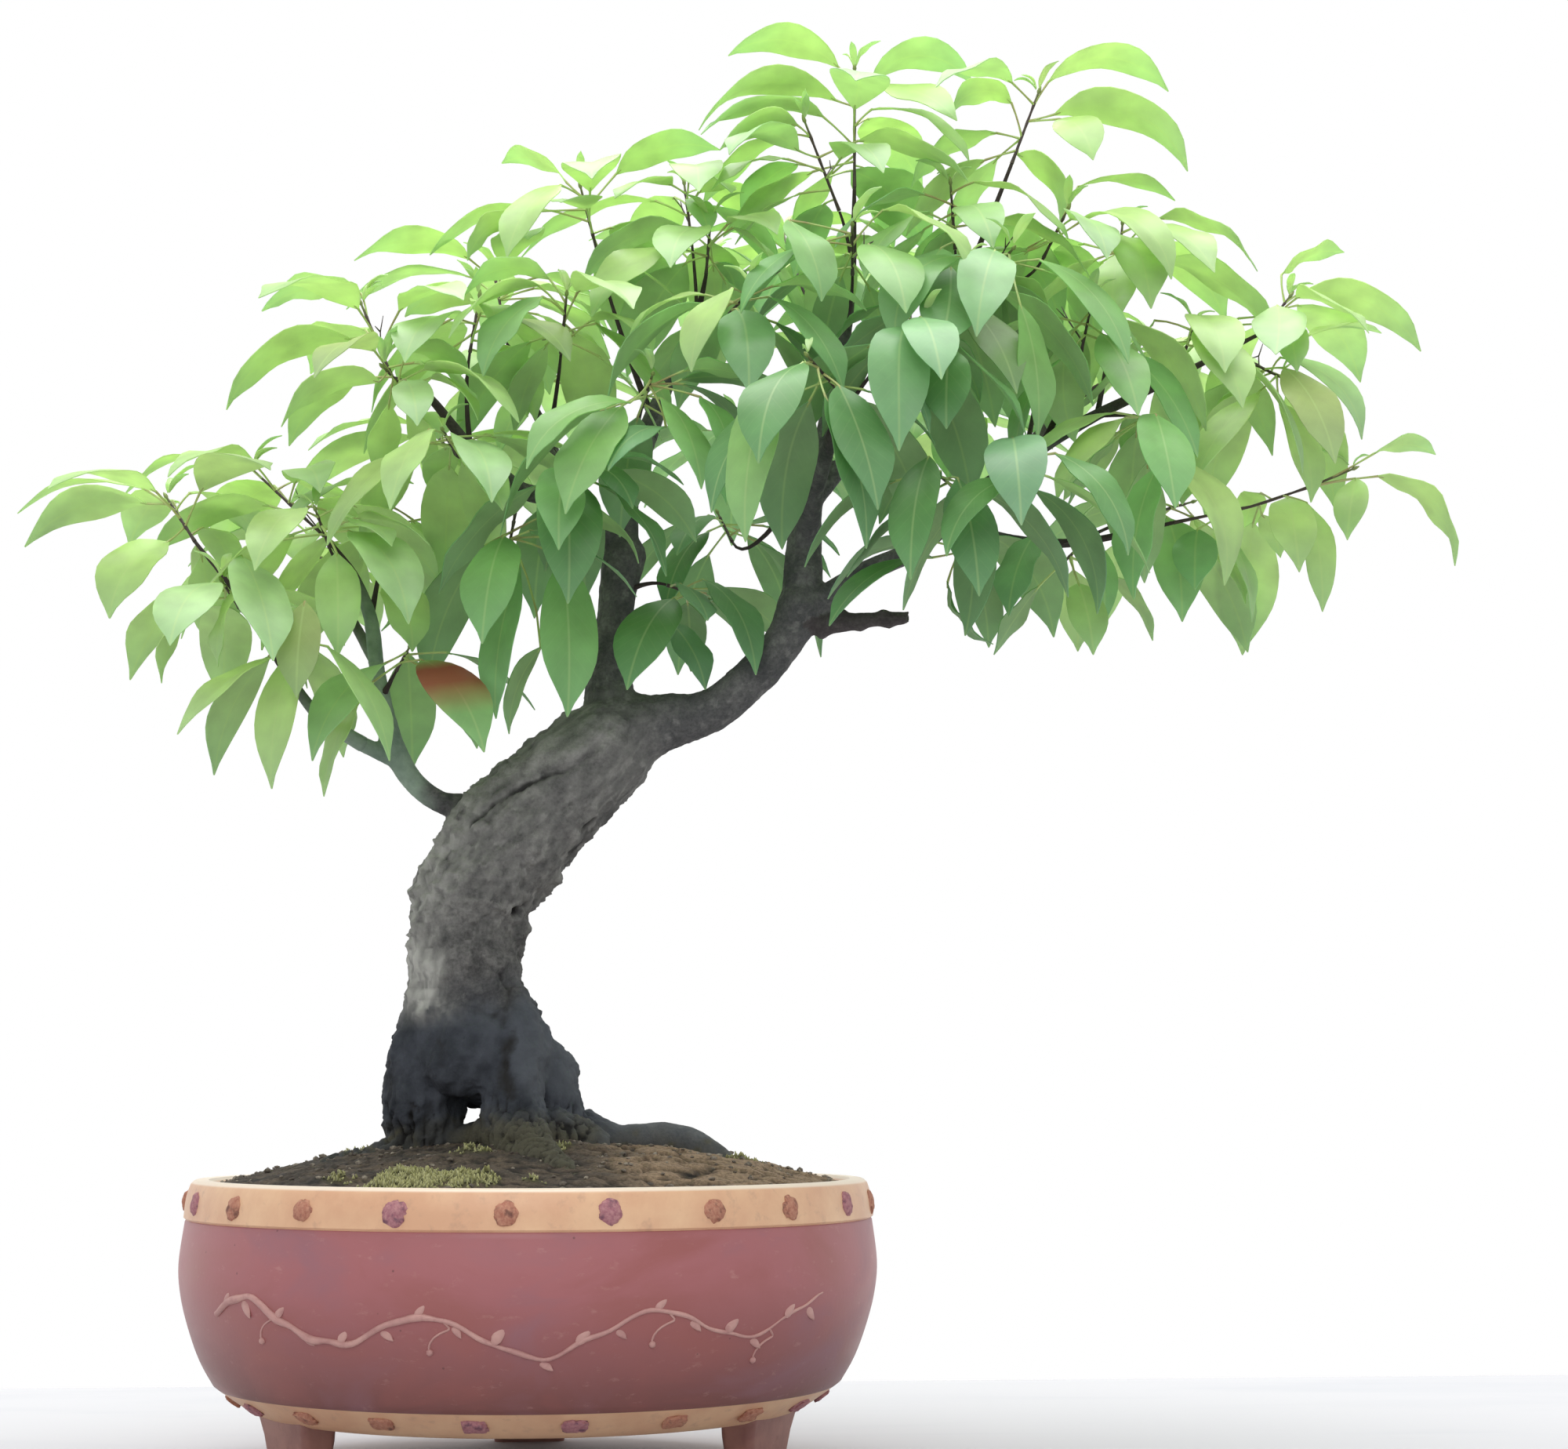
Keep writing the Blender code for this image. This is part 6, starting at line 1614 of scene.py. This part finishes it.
leafSizes = {
    "across": 4, "along": 12,  # faces of a blade
    # share of half the width along the blade: an ellipse that runs out into a narrow drip tip
    "outline": ((0.0, 0.05), (0.08, 0.34), (0.17, 0.63), (0.27, 0.86), (0.38, 0.98), (0.47, 1.0),
                (0.57, 0.97), (0.67, 0.86), (0.76, 0.68), (0.84, 0.45), (0.90, 0.25), (0.95, 0.12),
                (1.0, 0.02)),
    "wide": 0.88,
    "thick": 0.42,
    "droop": 0.16,  # how far the margins curl down, as a share of half the width
    "wave": (0.4, 1.5),  # height of the margins' waves
    "stalk": (0.7, 0.5), "stalkSides": 5,
    "shoot": (1.0, 0.72, 0.52), "shootSides": 7,  # radius at its foot, soon above it and at its tip
    "bud": ((1.2, 1.2), (2.6, 1.0), (4.2, 0.3)),  # along the bud, its radius
    "young": (12.0, 22.0), "youngWide": 0.3,  # unfolding leaves: length, width as a share of it
    "outer": (30.0, 250.0), "outerLight": 0.8,  # away from the crown's middle the leaves are paler: painted light on the crown's sides
    "unfolding": ((60.0, 3), (130.0, 2)),  # how many there are, down to this far below the crown's top
    "shade": (10.0, 200.0),  # leaves are younger to older, and darker with painted shade, from this to this far below the crown's top
    "shadeFall": 0.002,  # and how that falls to front and back
    "bare": (14.0, 30.0),  # length of bare twigs
}
leafColours = {
    # shade, middle and young, and the blade's back
    "blade": ("#76AE66", "#9ED584", "#D4EEA3"), "cool": "#B2DCC0", "back": ("#A8C897", "#DAEEB6"),
    "midrib": "#DCEFB0", "bronze": "#A89A70", "turning": ("#D08A68", "#A9594C"),
    "stalk": ("#B4CC7C", "#A9A06C"), "shoot": ("#33272C", "#54423E", "#8FA25C"),
}


def leafMaterial(name, colours, back):
    # camphor leaf: thin, waxy above and dull below, so it shines softly and glows with the light behind it
    rough, shine = (0.62, 0.3) if back else (0.38, 0.6)
    material, tree, shader = newMaterial(name, {"Roughness": rough, "Specular IOR Level": shine})
    across, along, share = readMarks(tree, "leafPlace")
    # the blade's tone: the leaf's age, with painted shade deep in the crown and painted light on its sides
    youthAndLight, turning, each = readMarks(tree, "leafKind")
    place = addNode(tree, "TexCoord").outputs["Object"]
    if back:
        colour = mixColours(tree, youthAndLight, *colours["back"])
    else:
        colour = addNode(tree, "ValToRGB", {"stops": tuple(zip((0.0, 0.5, 1.0), colours["blade"])), 0: youthAndLight})
        colour = layOver(tree, colour, colours["cool"], each, 0.55, 1.0, 0.36)
        colour = layOver(tree, colour, colours["bronze"], each, 0.035, 0.02, 0.4)
    mottle = addNode(tree, "TexNoise", {"Scale": perMm(14), "Detail": 4.0, "Vector": place})
    tint = addNode(tree, "MapRange", {1: 0.3, 2: 0.7, 3: 0.9, 4: 1.08, 0: mottle})
    colour = mixColours(tree, 1.0, colour, tint, "MULTIPLY")
    colour = layOver(tree, colour, colours["cool"], share, 0.45, 1.0, 0.32)
    # veins: a pale midrib about 1 mm wide, and faint side veins 7 mm apart that lean to the tip
    width = addNode(tree, "Math", {"operation": "ABSOLUTE", 0: across})
    rib = addNode(tree, "MapRange", {1: 0.25, 2: 0.75, 3: 1.0, 4: 0.0, 0: width})
    lean = addNode(tree, "Math", {"operation": "MULTIPLY_ADD", 1: -1.3, 0: width, 2: along})
    saw = addNode(tree, "Math", {"operation": "PINGPONG", 1: 3.6, 0: lean})
    side = addNode(tree, "MapRange", {1: 0.1, 2: 0.6, 3: 0.16, 4: 0.0, 0: saw})
    veins = addNode(tree, "Math", {"operation": "MAXIMUM", 0: rib, 1: side})
    pale = addNode(tree, "Math", {"operation": "MULTIPLY", 1: 0.34, 0: veins})
    colour = mixColours(tree, pale, colour, colours["midrib"])
    # one leaf turns red before it drops
    red = mixColours(tree, share, colours["turning"][1], colours["turning"][0])
    band = addNode(tree, "ValToRGB",
                   {"stops": ((0.04, 0.1), (0.24, 1.0), (0.42, 0.95), (0.72, 0.0)), 0: share})
    edge = addNode(tree, "Math", {"operation": "MULTIPLY", 0: turning, 1: band})
    colour = mixColours(tree, edge, colour, red)
    finishSurface(tree, shader, colour, mottle, 0.35, 0.6)
    glow = addNode(tree, "BsdfTranslucent", {"Color": colour})
    mixed = addNode(tree, "MixShader", {0: 0.5, 1: shader, 2: glow})
    feed(tree, tree.nodes["Material Output"], "Surface", mixed)
    return material


def stalkMaterial(colours):
    # leaf stalks: smooth, faintly waxed and yellow green, flushed with bronze in places
    material, tree, shader = newMaterial("leafStalk", {"Roughness": 0.5})
    place = addNode(tree, "TexCoord").outputs["Object"]
    flush = addNode(tree, "TexNoise", {"Scale": perMm(16), "Detail": 3.0, "Vector": place})
    share = addNode(tree, "MapRange", {1: 0.45, 2: 0.66, 0: flush})
    finishSurface(tree, shader, mixColours(tree, share, *colours["stalk"]), flush, 0.3, 0.2)
    return material


def shootMaterial(colours):
    # this year's shoot: thin dark purple brown bark with paler scars, still green at the growing end
    material, tree, shader = newMaterial("youngShoot", {"Roughness": 0.6})
    share = readMarks(tree, "leafPlace")[2]
    place = addNode(tree, "TexCoord").outputs["Object"]
    scars = addNode(tree, "TexNoise", {"Scale": perMm(2.5), "Detail": 4.0, "Vector": place})
    brown = mixColours(tree, scars, *colours["shoot"][:2])
    tip = addNode(tree, "MapRange", {1: 0.66, 2: 0.95, 0: share})
    finishSurface(tree, shader, mixColours(tree, tip, brown, colours["shoot"][2]), scars, 0.5, 0.3)
    return material


def addBlade(spray, leaf, youthAndLight, turning, draw, layers):
    # one flat grid, bent along the midrib, folded, narrowed to its outline and given its thickness
    grid = bmesh.ops.create_grid(spray, x_segments=leafSizes["across"], y_segments=leafSizes["along"], size=1)
    verts = grid["verts"]
    line = leafMidrib(leaf)
    steps = growth["leafSteps"]
    wave, turns, phase = draw.uniform(*leafSizes["wave"]), draw.uniform(1.2, 2.4), draw.uniform(0, math.tau)
    each = draw.random()
    bright = 0.4 if 0.3 < each < 0.45 else 0.0
    # the tone holds the leaf's age and the painted shade and light that it gets from its place
    tone = min(1.0, max(0.0, youthAndLight + bright + draw.uniform(-0.26, 0.26)))
    for vert in verts:
        u, v = vert.co.x, 0.5 * (vert.co.y + 1)
        j = min(int(v * steps), steps - 1)
        spot = line[j][0].lerp(line[j + 1][0], v * steps - j)
        way = leafWay(leaf, v)
        side, up = leafFrame(way, leaf)
        half = max(0.12, 0.5 * leafSizes["wide"] * leaf["width"] * lerp(leafSizes["outline"], v))
        lift = math.sin(leaf["fold"]) * abs(u) - leafSizes["droop"] * u * u
        ripple = wave * math.sin(turns * math.tau * v + phase + (1.7 if u < 0 else 0)) * u * u
        vert.co = spot + side * math.cos(leaf["fold"]) * half * u
        vert.co += up * (lift * half + ripple * min(1.0, half / 8))
        vert[layers[0]] = (half * u, v * leaf["length"], v)
        vert[layers[1]] = (tone, turning, each)
    top = list({face for vert in verts for face in vert.link_faces})
    for face in top:
        face.normal_update()  # solidify goes by the faces' own normals
    above = leafFrame(leafWay(leaf, 0.5), leaf)[1]
    if sum(face.normal.dot(above) for face in top) < 0:
        bmesh.ops.reverse_faces(spray, faces=top)
    walled = bmesh.ops.solidify(spray, geom=top, thickness=leafSizes["thick"])["geom"]
    known = set(top)
    for part in walled:
        if isinstance(part, bmesh.types.BMFace) and part not in known:
            part.material_index = 1


def hungLeaf(leaf):
    # low on the crown's right side the leaves are smaller, so that they hang less far
    base, tip = leaf["base"], leafMidrib(leaf)[-1][0]
    foot = lerp(growth["shortFoot"], tip.x)
    if tip.z > foot:
        return leaf
    share = max(growth["shortest"], (base.z - foot) / (base.z - tip.z))
    return dict(leaf, length=leaf["length"] * share, width=leaf["width"] * share ** 0.7)


def addStem(spray, path, sides, finish, layers, reach=1.0):
    made = sweepTube(spray, path, sides)
    for i, vert in enumerate(made):
        vert[layers[0]] = (0, 0, reach * (i // sides) / (len(path) - 1))
    for face in {f for vert in made for f in vert.link_faces}:
        face.material_index = finish


def addBareTwigs(spray, path, draw, layers):
    # a dead side twig with one fork, as old leaf shoots leave behind
    root = alongPath(path, draw.uniform(0.02, 0.4))
    turn, length = draw.uniform(0, math.tau), draw.uniform(*leafSizes["bare"])
    way = Vector((math.cos(turn), math.sin(turn), draw.uniform(0.6, 1.6))).normalized()
    fork = root + 0.55 * length * way
    for bend, reach in ((0.25, 0.45), (-0.7, 0.3)):
        end = fork + length * reach * (way + bend * way.orthogonal()).normalized()
        line = [(*root, 0.5)] if bend > 0 else []
        addStem(spray, line + [(*fork, 0.4), (*fork.lerp(end, 0.5), 0.32), (*end, 0.2)], 4, 3, layers, 0.5)


def makeSpray(index, row, leaves, materials):
    spray = bmesh.new()
    layers = [spray.verts.layers.float_vector.new(name) for name in ("leafPlace", "leafKind")]
    draw = random.Random(9000 + index)
    path = shootPath(row)
    tip = path[-1]
    depth = crownTop(tip) - tip.z
    for number, leaf in enumerate(leaves):
        high = leaf["base"].lerp(leafMidrib(leaf)[-1][0], 0.4).z
        below = crownTop(leaf["base"], leafSizes["shadeFall"]) - high
        away = abs(leaf["base"].x - growth["crownMiddle"].x)
        # painted shade: darker the further below the crown's top; painted light: paler further out to the
        # sides; young leaves are paler too
        youthAndLight = 1.0 - smoothStep(*leafSizes["shade"], below)
        youthAndLight += leafSizes["outerLight"] * smoothStep(*leafSizes["outer"], away)
        turning = 1.0 if turningLeaf == (index, number) else 0.0
        addBlade(spray, hungLeaf(leaf), youthAndLight, turning, draw, layers)
    for _n in range(next((count for low, count in leafSizes["unfolding"] if depth < low), 0)):
        turn = draw.uniform(0, math.tau)
        length = draw.uniform(*leafSizes["young"])
        rise = draw.uniform(0.7, 1.2)
        base = tip + Vector((0, 0, 1.5)) + 1.5 * wayAt(rise, turn)
        young = newLeaf(tip, base, turn, (rise + 0.2, rise - 0.9), length, length * leafSizes["youngWide"],
                        draw.uniform(-0.3, 0.3), draw.uniform(-0.3, 0.3), 0.5)
        addBlade(spray, young, 1.0, 0.0, draw, layers)
    for leaf in leaves:
        thick, thin = leafSizes["stalk"]
        root, base = leaf["root"], leaf["base"]
        way = leafWay(leaf, 0)
        arm = (base - root).length
        sag = way - (base - root).normalized()
        line = []
        for share in (0, 0.12, 0.35, 0.65, 1.0):
            spot = root.lerp(base, share) + sag * arm * 0.25 * share * (share - 1)
            line.append((*spot, thick + (thin - thick) * min(1.0, 3 * share) + 0.15 * (share == 1.0)))
        line.append((*(base + 3.0 * way - leafFrame(way, leaf)[1] * 0.35), 0.35))
        addStem(spray, line, leafSizes["stalkSides"], 2, layers)
    line = []
    levels = leafShares(row[4] + len(row[5]), 1)[0]
    for k in range(13):
        share = k / 12
        swell = max([math.exp(-((share - level) / 0.035) ** 2) for level in levels], default=0)
        foot, lower, upper = leafSizes["shoot"]
        radius = lerp(((0.0, foot), (0.16, lower), (1.0, upper)), share)
        line.append((*alongPath(path, share), radius + 0.3 * swell))
    if index % 3 == 1:
        addBareTwigs(spray, path, draw, layers)
    way = (path[-1] - path[-2]).normalized()
    line += [(*(tip + way * out), radius * 0.85) for out, radius in leafSizes["bud"]]
    addStem(spray, line, leafSizes["shootSides"], 3, layers)
    return finishPiece(f"leaves{index + 1:02d}", spray, materials, [f"spray_{index + 1:02d}"], 50)


turningLeaf = (39, 2)  # the spray and leaf that has turned red
grown = growLeaves()
print("leaves placed:", sum(len(leaves) for leaves in grown))
leafFinishes = [leafMaterial("camphorLeaf", leafColours, False),
                leafMaterial("camphorLeafBack", leafColours, True),
                stalkMaterial(leafColours), shootMaterial(leafColours)]
for index, (row, leaves) in enumerate(zip(sprayRows, grown)):
    makeSpray(index, row, leaves, leafFinishes)
print("sprays made")
